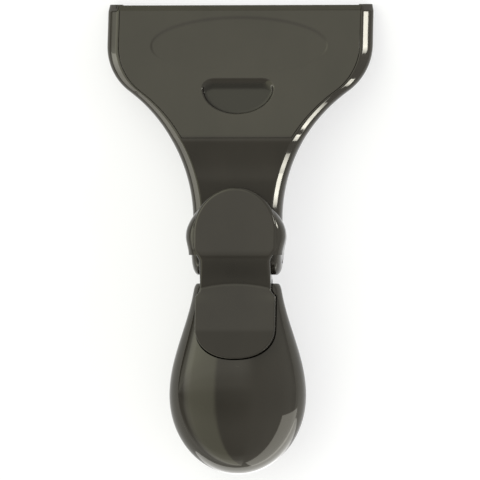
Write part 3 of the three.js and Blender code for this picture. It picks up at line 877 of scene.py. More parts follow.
@dataclass
class ReleaseLever:
    """Rocking lever: hood over the hinge, finger valley, two-facet pad and side skirts."""

    material: Material
    hood_half: float = 12.1
    hood_reach: float = 17.1
    hood_wide_y: float = 4.2
    hood_narrow_y: float = -0.2
    hood_fullness: float = 2.0
    valley_half: float = 10.2
    valley_start_y: float = -4.4
    valley_end_y: float = -11.0
    pad_start_y: float = -13.4
    pad_half: float = 11.5
    pad_round_y: float = -22.7
    pad_end_y: float = -32.1
    pad_fullness: float = 2.2
    lean_blend: float = 3.0
    hood_tip_z: float = 20.4
    crest_y: float = -2.4
    crest_z: float = 23.9
    crest_round: float = 1.6
    valley_z: float = 20.85
    pad_front_z: float = 21.0
    facet_y: float = -24.1
    facet_z: float = 23.4
    facet_round: float = 0.35
    pad_end_z: float = 24.0
    arch: float = 1.7
    arch_reach: float = 6.0
    edge_round: float = 1.0
    pad_edge_round: float = 0.35
    edge_steps: int = 8
    tip: float = 0.02
    hollow_tip: float = 0.05
    top_rows: tuple[float, ...] = (0.96, 0.7, 0.35, 0.0)
    steps: tuple[int, ...] = (22, 14, 12, 20, 16, 8, 26)
    wall: float = 1.8
    side_z: float = 16.4
    skirt_half: float = 14.4
    skirt_end_wall: float = 0.3
    skirt_front_y: float = 14.0
    skirt_dip_y: float = 5.5
    skirt_wide_y: float = 3.0
    skirt_back_y: float = -2.4
    skirt_low_z: float = 13.8
    skirt_drop: float = 4.2
    skirt_sink: float = 0.25
    skirt_chamfer: float = 0.3
    skirt_steps: tuple[int, int] = (12, 30)
    ear_radius: float = 2.4
    shoe_x: Point2 = (9.6, 11.0)
    shoe_thickness: float = 1.0
    shoe_turn: Point2 = (33.0, 62.0)
    stub_radius: float = 1.75
    stub_length: float = 1.5
    stub_root: float = 0.5
    bore_sides: int = 120

    def half_width(self, y: float) -> float:
        """Half-width seen from above.

        Args:
            y: Place along the lever.

        Returns:
            Half-width in millimetres.
        """
        if y >= self.hood_wide_y:
            reach = self.hood_reach - self.hood_wide_y
            return round_end(y - self.hood_wide_y, reach, self.hood_half, self.hood_fullness)
        if y >= self.valley_start_y:
            share = eased(-y, -self.hood_narrow_y, -self.valley_start_y)
            return self.hood_half + (self.valley_half - self.hood_half) * share
        if y >= self.pad_round_y:
            share = eased(-y, -self.valley_end_y, -self.pad_start_y)
            return self.valley_half + (self.pad_half - self.valley_half) * share
        reach = self.pad_end_y - self.pad_round_y
        return round_end(y - self.pad_round_y, reach, self.pad_half, self.pad_fullness)

    def top(self, y: float) -> float:
        """Height of the top: sloping hood, roll into the valley and two pad facets.

        Args:
            y: Place along the lever.

        Returns:
            Height in millimetres.
        """
        if y >= self.valley_end_y:
            slope = (self.hood_tip_z - self.crest_z) / (self.hood_reach - self.crest_y)
            along = self.crest_z + slope * soft_ramp(y - self.crest_y, self.crest_round)
            fall = eased(-y, -self.crest_y, -self.valley_end_y)
            return along + (self.valley_z - self.crest_z) * fall
        first = (self.facet_z - self.pad_front_z) / (self.facet_y - self.valley_end_y)
        second = (self.pad_end_z - self.facet_z) / (self.pad_end_y - self.facet_y)
        turn = soft_ramp(self.facet_y - y, self.facet_round)
        return self.pad_front_z + first * (y - self.valley_end_y) + (first - second) * turn

    def low(self, y: float) -> float:
        """Height of the lower side edge."""
        return PIVOT.neck_top + FITS.gap if y > self.valley_start_y else self.side_z

    def stations(self, rear: float, front: float) -> list[float]:
        """Places along the lever from its rear end to its front, close together at every turn.

        Args:
            rear: The rear end.
            front: The front end.

        Returns:
            The places, in rising order.
        """
        turns = (
            self.pad_round_y,
            self.pad_start_y,
            self.valley_end_y,
            self.valley_start_y,
            self.hood_narrow_y,
            self.hood_wide_y,
        )
        first, *middle, last = self.steps
        tail, nose = swept(turns[0], rear, first)[1:], swept(turns[-1], front, last)[1:]
        return [*reversed(tail), *chained(turns, middle), *nose]

    def right_edge(self, rear: float, front: float) -> list[Point2]:
        """Right half of the outline, from the rear to the front."""
        return [(self.half_width(y), y) for y in self.stations(rear, front)]

    def leaned(self, point: Point3) -> Point3:
        """Leans the rear end back below the pad, along the arc of the lever's swing.

        Args:
            point: A point of the lever.

        Returns:
            Its new place.
        """
        x, y, z = point
        pin_y, pin_z = PIVOT.lever_pin
        swing = math.hypot(self.pad_end_y - pin_y, self.pad_end_z - pin_z)
        lean = (swing + self.pad_end_y - pin_y) / (self.pad_end_z - pin_z)
        share = eased(self.pad_round_y - y, 0.0, self.lean_blend)
        return x, y - lean * (self.pad_end_z - z) * share, z

    def arched(self, x: float, y: float) -> float:
        """Bends the pad's front edge into the arch that is seen from above."""
        near = 1.0 - eased(abs(y - self.valley_end_y), 0.0, self.arch_reach)
        return y - self.arch * (x / self.pad_half) ** 2 * near

    def _edge_share(self, y: float) -> float:
        """Share of the hood's edge round that the top edge has at a place."""
        sharp = 1.0 - self.pad_edge_round / self.edge_round
        return 1.0 - sharp * eased(-y, -self.valley_start_y, -self.pad_start_y)

    def _skin(self) -> Solid:
        """Outer form with a round along the whole top edge.

        Returns:
            The closed solid.
        """
        edge = self.right_edge(self.pad_end_y, self.hood_reach)
        edge = [(max(x, self.tip), y) for x, y in edge]
        bevel = quarter_round(self.edge_steps)
        insets = [grown(closed(edge), -self.edge_round * inward) for inward, _ in bevel]
        rings = []
        for i, (x, y) in enumerate(edge):
            right, share = [(x, y, self.low(y))], self._edge_share(y)
            for (_, down), inset in zip(bevel, insets):
                across = max(x + (inset[i][0] - x) * share, self.tip / 2.0)
                along = y + (inset[i][1] - y) * share
                drop = self.edge_round * share * down
                right.append((across, along, self.top(along) - drop))
            across, along, height = right[-1]
            right += [(across * part, along, height) for part in self.top_rows]
            left = [(-u, v, w) for u, v, w in reversed(right[:-1])]
            rings.append([(u, self.arched(u, v), w) for u, v, w in [*right, *left]])
        return Solid.skin(rings).bent(self.leaned)

    def _hollow(self) -> Solid:
        """Inside of the lever, open below.

        Returns:
            The closed solid that is cut away.
        """
        rings = []
        for y in self.stations(self.pad_end_y + self.wall, self.hood_reach - self.wall):
            half = max(self.half_width(y) - self.wall, self.hollow_tip)
            top = self.top(y) - self.wall
            rings.append([(half, y, 0.0), (half, y, top), (-half, y, top), (-half, y, 0.0)])
        return Solid.skin(rings).bent(self.leaned)

    def skirt_outer(self, y: float) -> float:
        """Half-width of the skirts: they grow out of the hood and close behind it.

        Args:
            y: Place along the lever.

        Returns:
            Half-width in millimetres.
        """
        if y >= self.skirt_wide_y:
            grow = eased(self.skirt_front_y - y, 0.0, self.skirt_front_y - self.skirt_wide_y)
            return self.half_width(y) + (self.skirt_half - self.hood_half) * grow
        end = PIVOT.cheek_outer + FITS.gap + self.skirt_end_wall
        return self.skirt_half + (end - self.skirt_half) * eased(-y, -self.skirt_wide_y, -self.skirt_back_y)

    def _skirt(self) -> Solid:
        """Right skirt that hangs outside the cheek.

        Returns:
            The closed solid.
        """
        rings = []
        turns = (self.skirt_back_y, self.skirt_wide_y, self.skirt_front_y)
        for y in chained(turns, self.skirt_steps):
            outer, half = self.skirt_outer(y), self.half_width(y)
            inner, start = half - 2.0 * self.edge_round, half - self.edge_round
            dip = (self.skirt_dip_y, PIVOT.neck_top, self.skirt_back_y, self.skirt_low_z)
            low = PIVOT.neck_top if y > self.skirt_dip_y else between(y, *dip)
            crown = self.top(y) - self.skirt_sink * self.edge_round
            knee = self.top(y) - self.skirt_drop
            ring = [(inner, y, low), (inner, y, crown), (start, y, crown)]
            for turn in span(0.0, QUARTER, ARC_STEPS)[1:]:
                across = start + (outer - start) * math.sin(turn)
                ring.append((across, y, knee + (crown - knee) * math.cos(turn)))
            ring += [(outer, y, low + self.skirt_chamfer), (outer - self.skirt_chamfer, y, low)]
            rings.append(ring)
        return Solid.skin(rings)

    def _shoe_pocket(self) -> Solid:
        """Right pocket for the rubber shoe.

        Returns:
            The closed solid that is cut away.
        """
        start, end = (math.radians(turn) for turn in self.shoe_turn)
        inner = PIVOT.cheek_radius
        outer = inner + self.shoe_thickness + 2.0 * FITS.gap
        arc = [(inner, turn) for turn in span(start, end, ARC_STEPS)]
        arc += [(outer, turn) for turn in span(end, start, ARC_STEPS)]
        shape = [(radius * math.cos(turn), PIVOT.height + radius * math.sin(turn)) for radius, turn in arc]
        return Solid.drawn(shape, (self.shoe_x[0] - FITS.gap, self.shoe_x[1] + FITS.gap))

    def build(self) -> None:
        """Makes the lever."""
        inside, bore = PIVOT.cheek_outer + FITS.gap, PIVOT.cheek_radius + FITS.running
        y, z = PIVOT.lever_pin
        skirt = self._skirt()
        body = self._skin().combine(Combine.JOIN, skirt.mirrored(), skirt)
        pocket = self._shoe_pocket()
        body.combine(
            Combine.CUT,
            self._hollow(),
            Solid.rod(bore, (-inside, inside), 0.0, PIVOT.height, self.bore_sides),
            Solid.block(
                (-inside, inside),
                (-PIVOT.cheek_radius, self.hood_reach + FITS.over),
                (0.0, PIVOT.neck_top + FITS.gap),
            ),
            pocket.mirrored(),
            pocket,
        )
        hollow_x = self.valley_half - self.wall
        stub_top = self.top(SHANK.spring_y) - self.wall
        stub_z = (stub_top - self.stub_length, stub_top + self.stub_root)
        body.combine(
            Combine.JOIN,
            Solid.rod(self.ear_radius, (hollow_x, self.valley_half), y, z),
            Solid.rod(self.ear_radius, (-self.valley_half, -hollow_x), y, z),
            Solid.post(self.stub_radius, (0.0, SHANK.spring_y), stub_z),
        )
        reach = self.valley_half + FITS.over
        body.combine(Combine.CUT, Solid.rod(PIVOT.lever_pin_radius + FITS.gap, (-reach, reach), y, z))
        dress(body, "release_lever", "lever", self.material)


@dataclass
class HandleShells:
    """Bulb handle: a front shell with the lever's channel and a rear shell with the flat back."""

    lever: ReleaseLever
    material: Material
    reach: float = 65.5
    front_y: float = -10.6
    wide_y: float = -42.8
    half: float = 19.7
    front_half: float = 12.4
    rise: float = 11.6
    front_rise: float = 5.8
    fall: float = 14.4
    front_fall: float = 6.5
    fullness: float = 2.1
    tip: float = 0.02
    front_round: float = 2.0
    front_shrink: float = 0.06
    late_swell: float = 0.65
    wall: float = 2.2
    seam: float = 0.3
    lip: float = 0.2
    lip_height: float = 0.5
    back_round: float = 0.5
    ring_steps: int = 84
    crowding: float = 0.65
    outer_steps: tuple[int, int, int] = (34, 40, 8)
    inner_steps: tuple[int, int] = (10, 12)
    inner_sides: int = 48
    channel_floor: float = 13.4
    channel_gap: float = 0.12
    channel_end: float = 0.12
    channel_lip: float = 0.1
    rib_half: float = 8.0
    rib_y: Point2 = (-21.0, -19.0)
    screw_places: tuple[Point2, ...] = ((0.0, SHANK.screw_y), (9.5, -47.7), (-9.5, -47.7))
    screw_radius: float = 1.25
    screw_head_radius: float = 2.6
    screw_head_height: float = 2.0
    screw_sink: float = 0.8
    screw_length: float = 16.0
    boss_radius: float = 3.0

    def section(self, y: float, inset: float) -> Point3:
        """Half-width, rise and fall of the bulb at a place.

        Args:
            y: Place along the handle.
            inset: How far the form is shrunk.

        Returns:
            Half-width, height above the seam and depth below it.
        """
        share = min(max((self.front_y - y) / (self.front_y - self.wide_y), 0.0), 1.0)
        slow, fast = (1.0 - math.cos(math.pi * share)) / 2.0, math.sin(math.pi * share / 2.0)
        swell = self.late_swell * slow + (1.0 - self.late_swell) * fast
        butt = self.reach + self.wide_y - inset
        closing = max(round_end(max(0.0, self.wide_y - y), butt, 1.0, 2.0), self.tip)
        nose = min(max((y - self.front_y) / self.front_round + 1.0, 0.0), 1.0)
        corner = 1.0 - self.front_shrink * (1.0 - math.sqrt(1.0 - nose * nose))
        sizes = []
        for front, full in (
            (self.front_half, self.half),
            (self.front_rise, self.rise),
            (self.front_fall, self.fall),
        ):
            sizes.append(((front + (full - front) * swell) * corner - inset) * closing)
        return sizes[0], sizes[1], sizes[2]

    def top_at(self, x: float, y: float) -> float:
        """Height of the bulb's front face at a place seen from above."""
        half, rise, _ = self.section(min(y, self.front_y), 0.0)
        return PIVOT.height + round_end(x, half, rise, self.fullness)

    def back_at(self, x: float, y: float) -> float:
        """Height of the bulb's back at a place seen from above."""
        half, _, fall = self.section(y, 0.0)
        return max(0.0, PIVOT.height - round_end(x, half, fall, self.fullness))

    def _shell_ring(self, y: float, side: Half) -> list[Point3]:
        """Half ring of one shell with its seam lip.

        Args:
            y: Place along the handle.
            side: Which shell.

        Returns:
            Points from the right seam to the left one.
        """
        half, rise, fall = self.section(y, 0.0)
        height = rise if side is Half.FRONT else fall
        power, edge = 2.0 / self.fullness, self.seam / 2.0
        ring = []
        for share in span(0.0, 1.0, self.ring_steps):
            turn = math.pi * (share - self.crowding * math.sin(FULL_TURN * share) / FULL_TURN)
            lift = max(abs(math.sin(turn)) ** power * height, edge)
            tuck = self.lip * (1.0 - eased(lift, edge, edge + self.lip_height))
            across = math.copysign(abs(math.cos(turn)) ** power, math.cos(turn))
            z = PIVOT.height + side.value * lift
            if side is Half.REAR:
                z = soft_ramp(z, self.back_round)
            ring.append((across * max(half - tuck, half / 2.0), y, z))
        return ring

    def _outer(self, side: Half) -> Solid:
        """One half of the filled bulb.

        Args:
            side: Which shell.

        Returns:
            The closed solid.
        """
        nose = self.front_y - self.front_round
        butt_steps, swell_steps, nose_steps = self.outer_steps
        rows = [
            *reversed(swept(self.wide_y, -self.reach, butt_steps)),
            *span(self.wide_y, nose, swell_steps)[1:],
            *swept(nose, self.front_y, nose_steps)[1:],
        ]
        return Solid.skin([self._shell_ring(y, side) for y in rows])

    def _inner(self) -> Solid:
        """The space inside the wall.

        Returns:
            The closed solid that is cut away.
        """
        butt_steps, swell_steps = self.inner_steps
        rows = [
            *reversed(swept(self.wide_y, -self.reach + self.wall, butt_steps)),
            *span(self.wide_y, self.front_y - self.wall, swell_steps)[1:],
        ]
        rings = []
        for y in rows:
            half, rise, fall = self.section(y, self.wall)
            ring = []
            for turn in span(0.0, FULL_TURN, self.inner_sides)[:-1]:
                lift = math.sin(turn) * (rise if math.sin(turn) > 0.0 else fall)
                ring.append((math.cos(turn) * half, y, max(PIVOT.height + lift, self.wall)))
            rings.append(ring)
        return Solid.skin(rings)

    def _channel(self) -> Solid:
        """Opening that the lever dips into, with a rounded lip on the bulb.

        Returns:
            The closed solid that is cut away.
        """
        edge = []
        for x, y in self.lever.right_edge(self.lever.pad_end_y, self.lever.hood_reach):
            if y > self.lever.valley_start_y + 1e-6:
                continue
            far = eased(-y, -self.lever.pad_round_y, -self.lever.pad_end_y)
            edge.append((x, self.lever.arched(x, y) - self.channel_end * far))
        outline = closed(edge)
        lip = self.channel_lip
        levels: list[tuple[float, HeightAt]] = [(self.channel_gap, level(self.channel_floor))]
        for outward, down in quarter_round(LIP_STEPS):
            grow, drop = self.channel_gap + lip * outward, lip * down
            levels.append((grow, lambda x, y, drop=drop: self.top_at(x, y) - drop))
        levels.append((self.channel_gap + lip, level(PIVOT.height + 3.0 * self.rise)))
        return stacked(outline, levels).bent(self.lever.leaned)

    def screw_heights(self, place: Point2) -> Point3:
        """Heights of a screw's outer face, the underside of its head and its tip."""
        face = self.back_at(*place) + self.screw_sink
        return face, face + self.screw_head_height, face + self.screw_length

    def _room(self) -> list[Solid]:
        """Cuts that both shells share: mouth, shank room and screw holes.

        Returns:
            The solids that are cut away.
        """
        half = SHANK.half + FITS.gap
        low, high = SHANK.z[0] - FITS.gap, SHANK.z[1] + FITS.gap
        shank = Solid.block((-half, half), (SHANK.end_y - FITS.gap, 0.0), (low, high))
        boss = Solid.post(self.boss_radius + FITS.gap / 2, self.screw_places[0], (0.0, TALL))
        shank.combine(Combine.CUT, boss)
        mouth_z = (low, self.channel_floor + FITS.over)
        mouth = Solid.block((-half, half), (SHANK.end_y / 2, 0.0), mouth_z)
        cuts = [mouth, shank, self._channel()]
        for place in self.screw_places:
            _, seat, tip = self.screw_heights(place)
            cuts.append(Solid.post(self.screw_radius + FITS.gap, place, (0.0, tip + FITS.gap)))
            cuts.append(Solid.post(self.screw_head_radius + FITS.gap, place, (-FITS.over, seat + FITS.gap)))
        return cuts

    def build(self) -> None:
        """Makes both shells."""
        for side, name in ((Half.FRONT, "handle_front_shell"), (Half.REAR, "handle_rear_shell")):
            shell = self._outer(side)
            ribs = [Solid.post(self.boss_radius, place, (0.0, TALL)) for place in self.screw_places]
            rib_x, rib_z = (-self.rib_half, self.rib_half), (0.0, SHANK.z[0] - FITS.gap)
            ribs.append(Solid.block(rib_x, self.rib_y, rib_z))
            inside = ribs[0].combine(Combine.JOIN, *ribs[1:]).combine(Combine.KEEP, shell.copy())
            shell.combine(Combine.CUT, self._inner()).combine(Combine.JOIN, inside)
            shell.combine(Combine.CUT, *self._room())
            dress(shell, name, "handle", self.material)


@dataclass
class BladeHead:
    """Head frame: neck, hinge fork, rolled rims and the bed for blade and cover in one moulding."""

    material: Material
    half: float = 38.5
    reach: float = 70.1
    crease_y: float = 31.2
    bend_round: float = 1.15
    neck_dip: float = 0.14
    dip_start_y: float = 19.0
    shoulder_y: float = 58.3
    neck_half: float = 12.9
    neck_y: float = 7.7
    neck_root_y: float = 1.5
    neck_low: float = 8.5
    flank_radius: float = 46.0
    tip_thickness: float = 4.6
    crease_thickness: float = 7.2
    rim_width: float = 3.5
    rim_drop: float = 0.58
    rim_bevel: Point2 = (0.16, 0.58)
    rim_soft: float = 0.1
    rim_slope: float = 0.6
    under_round: float = 1.6
    nose_length: float = 2.0
    nose_drop: float = 0.9
    nose_round: float = 0.25
    nose_narrow: float = 0.4
    panel_lip: float = 0.14
    cover_thickness: float = 1.8
    rail_reach: float = 0.9
    rail_thickness: float = 0.8
    rail_length: float = 9.0
    tail_half: float = 10.0
    tail_reach: float = 1.5
    blade_thickness: float = 0.6
    blade_length: float = 20.0
    blade_set_back: float = 0.8
    blade_half: float = 34.0
    base_set_back: float = 3.0
    peg_radius: float = 1.6
    peg_x: float = 22.0
    peg_from_rear: float = 5.0
    peg_chamfer: float = 0.3
    peg_sides: int = 40
    cheek_bevel: float = 0.5
    tooth_depth: float = 0.4
    tooth_pitch: float = 5.0
    tooth_start: float = 33.0
    tooth_count: int = 15
    cheek_round: float = 1.8
    cheek_steps: tuple[int, int, int] = (110, 4, 14)
    slot_sides: int = 96
    flat_shares: tuple[float, ...] = (0.0, 0.4, 0.8, 0.97)
    under_steps: int = 8
    bevel_steps: int = 16
    edge_steps: tuple[int, int] = (26, 22)
    plate_steps: tuple[int, ...] = (4, 24, 10, 16, 24, 6)

    @property
    def slope(self) -> float:
        """Angle of the plate below the neck, in radians."""
        return math.atan2(PIVOT.neck_top - self.tip_thickness, self.reach - self.crease_y)

    @property
    def plate_length(self) -> float:
        """Length of the plate along its own face."""
        return (self.reach - self.crease_y) / math.cos(self.slope)

    @property
    def shoulder_radius(self) -> float:
        """Radius of the shoulder that meets the flank and the straight side smoothly.

        Returns:
            Radius in millimetres.
        """
        inset = self.neck_half + self.flank_radius - self.half
        rise = self.shoulder_y - self.neck_y
        return (inset**2 + rise**2 - self.flank_radius**2) / (2.0 * (self.flank_radius - inset))

    @property
    def flank_end_y(self) -> float:
        """Place where the hollow flank turns into the shoulder."""
        share = self.flank_radius / (self.flank_radius + self.shoulder_radius)
        return self.neck_y + (self.shoulder_y - self.neck_y) * share

    @property
    def on_plate(self) -> Matrix:
        """Places a form drawn on the plate: Y along it and Z out of it."""
        tilt = Matrix.Rotation(-self.slope, 4, "X")
        return Matrix.Translation((0.0, self.crease_y, PIVOT.neck_top)) @ tilt

    @property
    def rail_half(self) -> float:
        """Half-width over the cover's rails."""
        return self.half - self.rim_width + self.rail_reach

    @property
    def rail_top(self) -> float:
        """Height of the rails' top, on the plate."""
        return self.rail_thickness - self.cover_thickness

    @property
    def blade_top(self) -> float:
        """Height of the blade's top, on the plate."""
        return -(self.cover_thickness + FITS.gap)

    @property
    def blade_rear(self) -> float:
        """Place of the blade's rear edge, along the plate."""
        return self.plate_length - self.blade_set_back - self.blade_length

    @property
    def pocket_low(self) -> float:
        """Height of the floor below the blade, on the plate."""
        return self.blade_top - self.blade_thickness - FITS.gap

    def along(self, y: float) -> float:
        """Distance along the plate for a place seen from above."""
        return (y - self.crease_y) / math.cos(self.slope)

    def half_width(self, y: float) -> float:
        """Half-width of the head seen from above.

        Args:
            y: Place along the tool.

        Returns:
            Half-width in millimetres.
        """
        if y >= self.shoulder_y:
            return self.half
        if y >= self.flank_end_y:
            radius = self.shoulder_radius
            return self.half - radius + math.sqrt(radius**2 - (y - self.shoulder_y) ** 2)
        if y >= self.neck_y:
            reach = math.sqrt(self.flank_radius**2 - (y - self.neck_y) ** 2)
            return self.neck_half + self.flank_radius - reach
        return self.neck_half

    def top(self, y: float) -> float:
        """Height of the top face, with the bend a little rounded and the neck a little hollow.

        Args:
            y: Place along the tool.

        Returns:
            Height in millimetres.
        """
        share = between(y, self.dip_start_y, 0.0, self.crease_y - self.bend_round, 1.0)
        dip = self.neck_dip * math.sin(math.pi * min(max(share, 0.0), 1.0))
        return PIVOT.neck_top - dip - soft_ramp(y - self.crease_y, self.bend_round) * math.tan(self.slope)

    def low(self, y: float) -> float:
        """Height of the underside.

        Args:
            y: Place along the tool.

        Returns:
            Height in millimetres.
        """
        if y <= self.crease_y:
            share = eased(y, self.neck_y, self.crease_y)
            return self.neck_low + (PIVOT.neck_top - self.crease_thickness - self.neck_low) * share
        thick = between(y, self.crease_y, self.crease_thickness, self.reach, self.tip_thickness)
        return PIVOT.neck_top - (y - self.crease_y) * math.tan(self.slope) - thick

    def panel_edge(self, grow: float, rear: float, front: float) -> list[Point2]:
        """Right half of the outline between the rims, on the plate, from the rear to the front.

        Args:
            grow: How far the outline is wider than the room between the rims.
            rear: Place of its rear edge, along the plate.
            front: Place of its front edge.

        Returns:
            Points across and along the plate.
        """
        rows = chained((self.crease_y, self.flank_end_y, self.shoulder_y), self.edge_steps)
        edge = [(self.half_width(y) - self.rim_width + grow, self.along(y)) for y in rows]
        edge[0] = (edge[0][0], rear)
        return [*edge, (self.half - self.rim_width + grow, front)]

    def _rim(self, roll: float) -> list[Point2]:
        """Right rim from its inner edge: soft rise, flat bevel and round edge.

        Args:
            roll: Height of the rim's side below the top face.

        Returns:
            Distance from the inner edge and drop of each point.
        """
        wide, (start, end) = self.rim_width, self.rim_bevel
        fall = []
        for share in span(0.0, end, self.bevel_steps):
            fall.append((wide * share, self.rim_slope * wide * soft_ramp(share - start, self.rim_soft)))
        turn_x, turn_z = fall[-1]
        corner = turn_z + self.rim_slope * (wide - turn_x)
        for share in span(0.0, 1.0, ARC_STEPS)[1:]:
            near, mid, far = (1.0 - share) ** 2, 2.0 * share * (1.0 - share), share**2
            fall.append((near * turn_x + (mid + far) * wide, near * turn_z + mid * corner + far * roll))
        return fall

    def _ring(self, y: float) -> list[Point3]:
        """Cross-section: flat top, rolled rims and rounded lower edges.

        Args:
            y: Place along the tool.

        Returns:
            Points round the section.
        """
        nose = soft_ramp(y - (self.reach - self.nose_length), self.nose_round) / self.nose_length
        half = self.half_width(y) - self.nose_narrow * nose
        low = self.low(max(y, self.neck_y))
        top = self.top(y) - self.nose_drop * nose
        roll = (top - low) * self.rim_drop
        flat = half - self.rim_width
        right = [(flat * share, top) for share in self.flat_shares]
        right += [(flat + across, top - drop) for across, drop in self._rim(roll)]
        for inward, up in quarter_round(self.under_steps)[1:]:
            right.append((half - self.under_round * inward, low + (top - roll - low) * up))
        right += [((half - self.under_round) * share, low) for share in (0.5, 0.0)]
        left = [(-x, z) for x, z in reversed(right[1:-1])]
        return [(x, y, z) for x, z in [*right, *left]]

    def _plate(self) -> Solid:
        """Neck and plate as one filled form.

        Returns:
            The closed solid.
        """
        bend, nose = 2.0 * self.bend_round, self.reach - self.nose_length
        turns = (
            self.neck_root_y,
            self.neck_y,
            self.crease_y - bend,
            self.crease_y + bend,
            self.flank_end_y,
            self.shoulder_y,
            nose - 2.0 * self.nose_round,
        )
        tip = span(nose - self.nose_round, nose + self.nose_round, LIP_STEPS)
        rows = [*chained(turns, self.plate_steps), *tip, self.reach]
        return Solid.skin([self._ring(y) for y in rows])

    def _cheek(self) -> Solid:
        """Right fork cheek with lock teeth on its edge and a round outer face.

        Returns:
            The closed solid.
        """
        turns: list[Point2] = []
        for i in range(self.tooth_count):
            start = self.tooth_start + i * self.tooth_pitch
            turns += [(self.tooth_depth, start), (0.0, start + self.tooth_pitch / 2.0)]
        smooth = self.tooth_start + self.tooth_count * self.tooth_pitch
        smooth_steps, bevel_steps, round_steps = self.cheek_steps
        turns += [(0.0, turn) for turn in span(smooth, self.tooth_start + 360.0, smooth_steps)[:-1]]
        inner, outer, bevel = PIVOT.cheek_inner, PIVOT.cheek_outer, self.cheek_bevel
        crown = PIVOT.cheek_radius - PIVOT.cap_radius - FITS.gap
        levels = [(bevel * down, inner + bevel * out) for out, down in quarter_round(bevel_steps)]
        for inward, back in quarter_round(round_steps):
            levels.append((crown * inward, outer - self.cheek_round * back))
        rings = []
        for drop, x in levels:
            fade = max(0.0, 1.0 - drop / self.tooth_depth / 2.0)
            ring = []
            for depth, degrees in turns:
                radius, turn = PIVOT.cheek_radius - depth * fade - drop, math.radians(degrees)
                ring.append((x, radius * math.cos(turn), PIVOT.height + radius * math.sin(turn)))
            rings.append(ring)
        return Solid.skin(rings)

    def _bed(self) -> list[Solid]:
        """Cuts for cover, rails and blade, placed on the plate.

        Returns:
            The solids that are cut away.
        """
        front = self.plate_length + self.crease_thickness
        lip, low = self.panel_lip, self.pocket_low
        levels = [(0.0, level(self.blade_top))]
        levels += [(lip * out, level(-lip * down)) for out, down in quarter_round(LIP_STEPS)]
        levels.append((lip, level(PIVOT.neck_top)))
        panel = stacked(closed(self.panel_edge(0.0, 0.0, front)), levels)
        rail, rail_z = self.rail_half + FITS.gap, (self.blade_top, self.rail_top + FITS.gap)
        start = self.plate_length - self.nose_length - self.rail_length - FITS.gap
        groove = Solid.block((-rail, rail), (start, front), rail_z)
        tail_half = self.tail_half + FITS.gap
        tail = Solid.block((-tail_half, tail_half), (-self.tail_reach - FITS.gap, FITS.over), rail_z)
        wide = self.blade_half + FITS.gap
        outline = closed(self.panel_edge(-FITS.gap, 0.0, front))
        room = stacked(outline, [(0.0, level(low)), (0.0, level(FITS.over))])
        pocket_y = (self.blade_rear - FITS.gap, front)
        pocket = Solid.block((-wide, wide), pocket_y, (low - FITS.over, FITS.over))
        pocket.combine(Combine.KEEP, room)
        relief_y = (self.plate_length - self.base_set_back, front)
        relief = Solid.block((-wide, wide), relief_y, (-self.crease_thickness, FITS.over))
        return [tool.moved(self.on_plate) for tool in (panel, groove, tail, pocket, relief)]

    def _bores(self) -> list[Solid]:
        """Slot for the tongue and bores for pin and caps.

        Returns:
            The solids that are cut away.
        """
        inner, outer = PIVOT.cheek_inner, PIVOT.cheek_outer
        seat = outer - PIVOT.cap_thickness - FITS.gap
        wide, far = PIVOT.cap_radius + FITS.gap, outer + FITS.over
        rear, slot = -PIVOT.cheek_radius - FITS.over, PIVOT.tongue_radius + FITS.running
        return [
            Solid.rod(slot, (-inner, inner), 0.0, PIVOT.height, self.slot_sides),
            Solid.block((-inner, inner), (rear, 0.0), (0.0, PIVOT.neck_top + PIVOT.cheek_radius)),
            Solid.rod(PIVOT.pin_radius + FITS.gap, (-outer, outer), 0.0, PIVOT.height),
            Solid.rod(wide, (seat, far), 0.0, PIVOT.height),
            Solid.rod(wide, (-far, -seat), 0.0, PIVOT.height),
        ]

    def _pegs(self) -> list[Solid]:
        """Pegs that locate the blade.

        Returns:
            The solids, placed on the plate.
        """
        profile = [
            (self.peg_radius, self.pocket_low - FITS.over),
            (self.peg_radius, self.blade_top - self.peg_chamfer),
            (self.peg_radius - self.peg_chamfer, self.blade_top),
        ]
        pegs = []
        for side in Side:
            place = (side.value * self.peg_x, self.blade_rear + self.peg_from_rear)
            pegs.append(Solid.turned(profile, place, False, self.peg_sides).moved(self.on_plate))
        return pegs

    def build(self) -> None:
        """Makes the head frame."""
        cheek = self._cheek()
        body = self._plate().combine(Combine.JOIN, cheek.mirrored(), cheek)
        body.combine(Combine.CUT, *self._bed()).combine(Combine.JOIN, *self._pegs())
        body.combine(Combine.CUT, *self._bores())
        dress(body, "head_frame", "head", self.material)


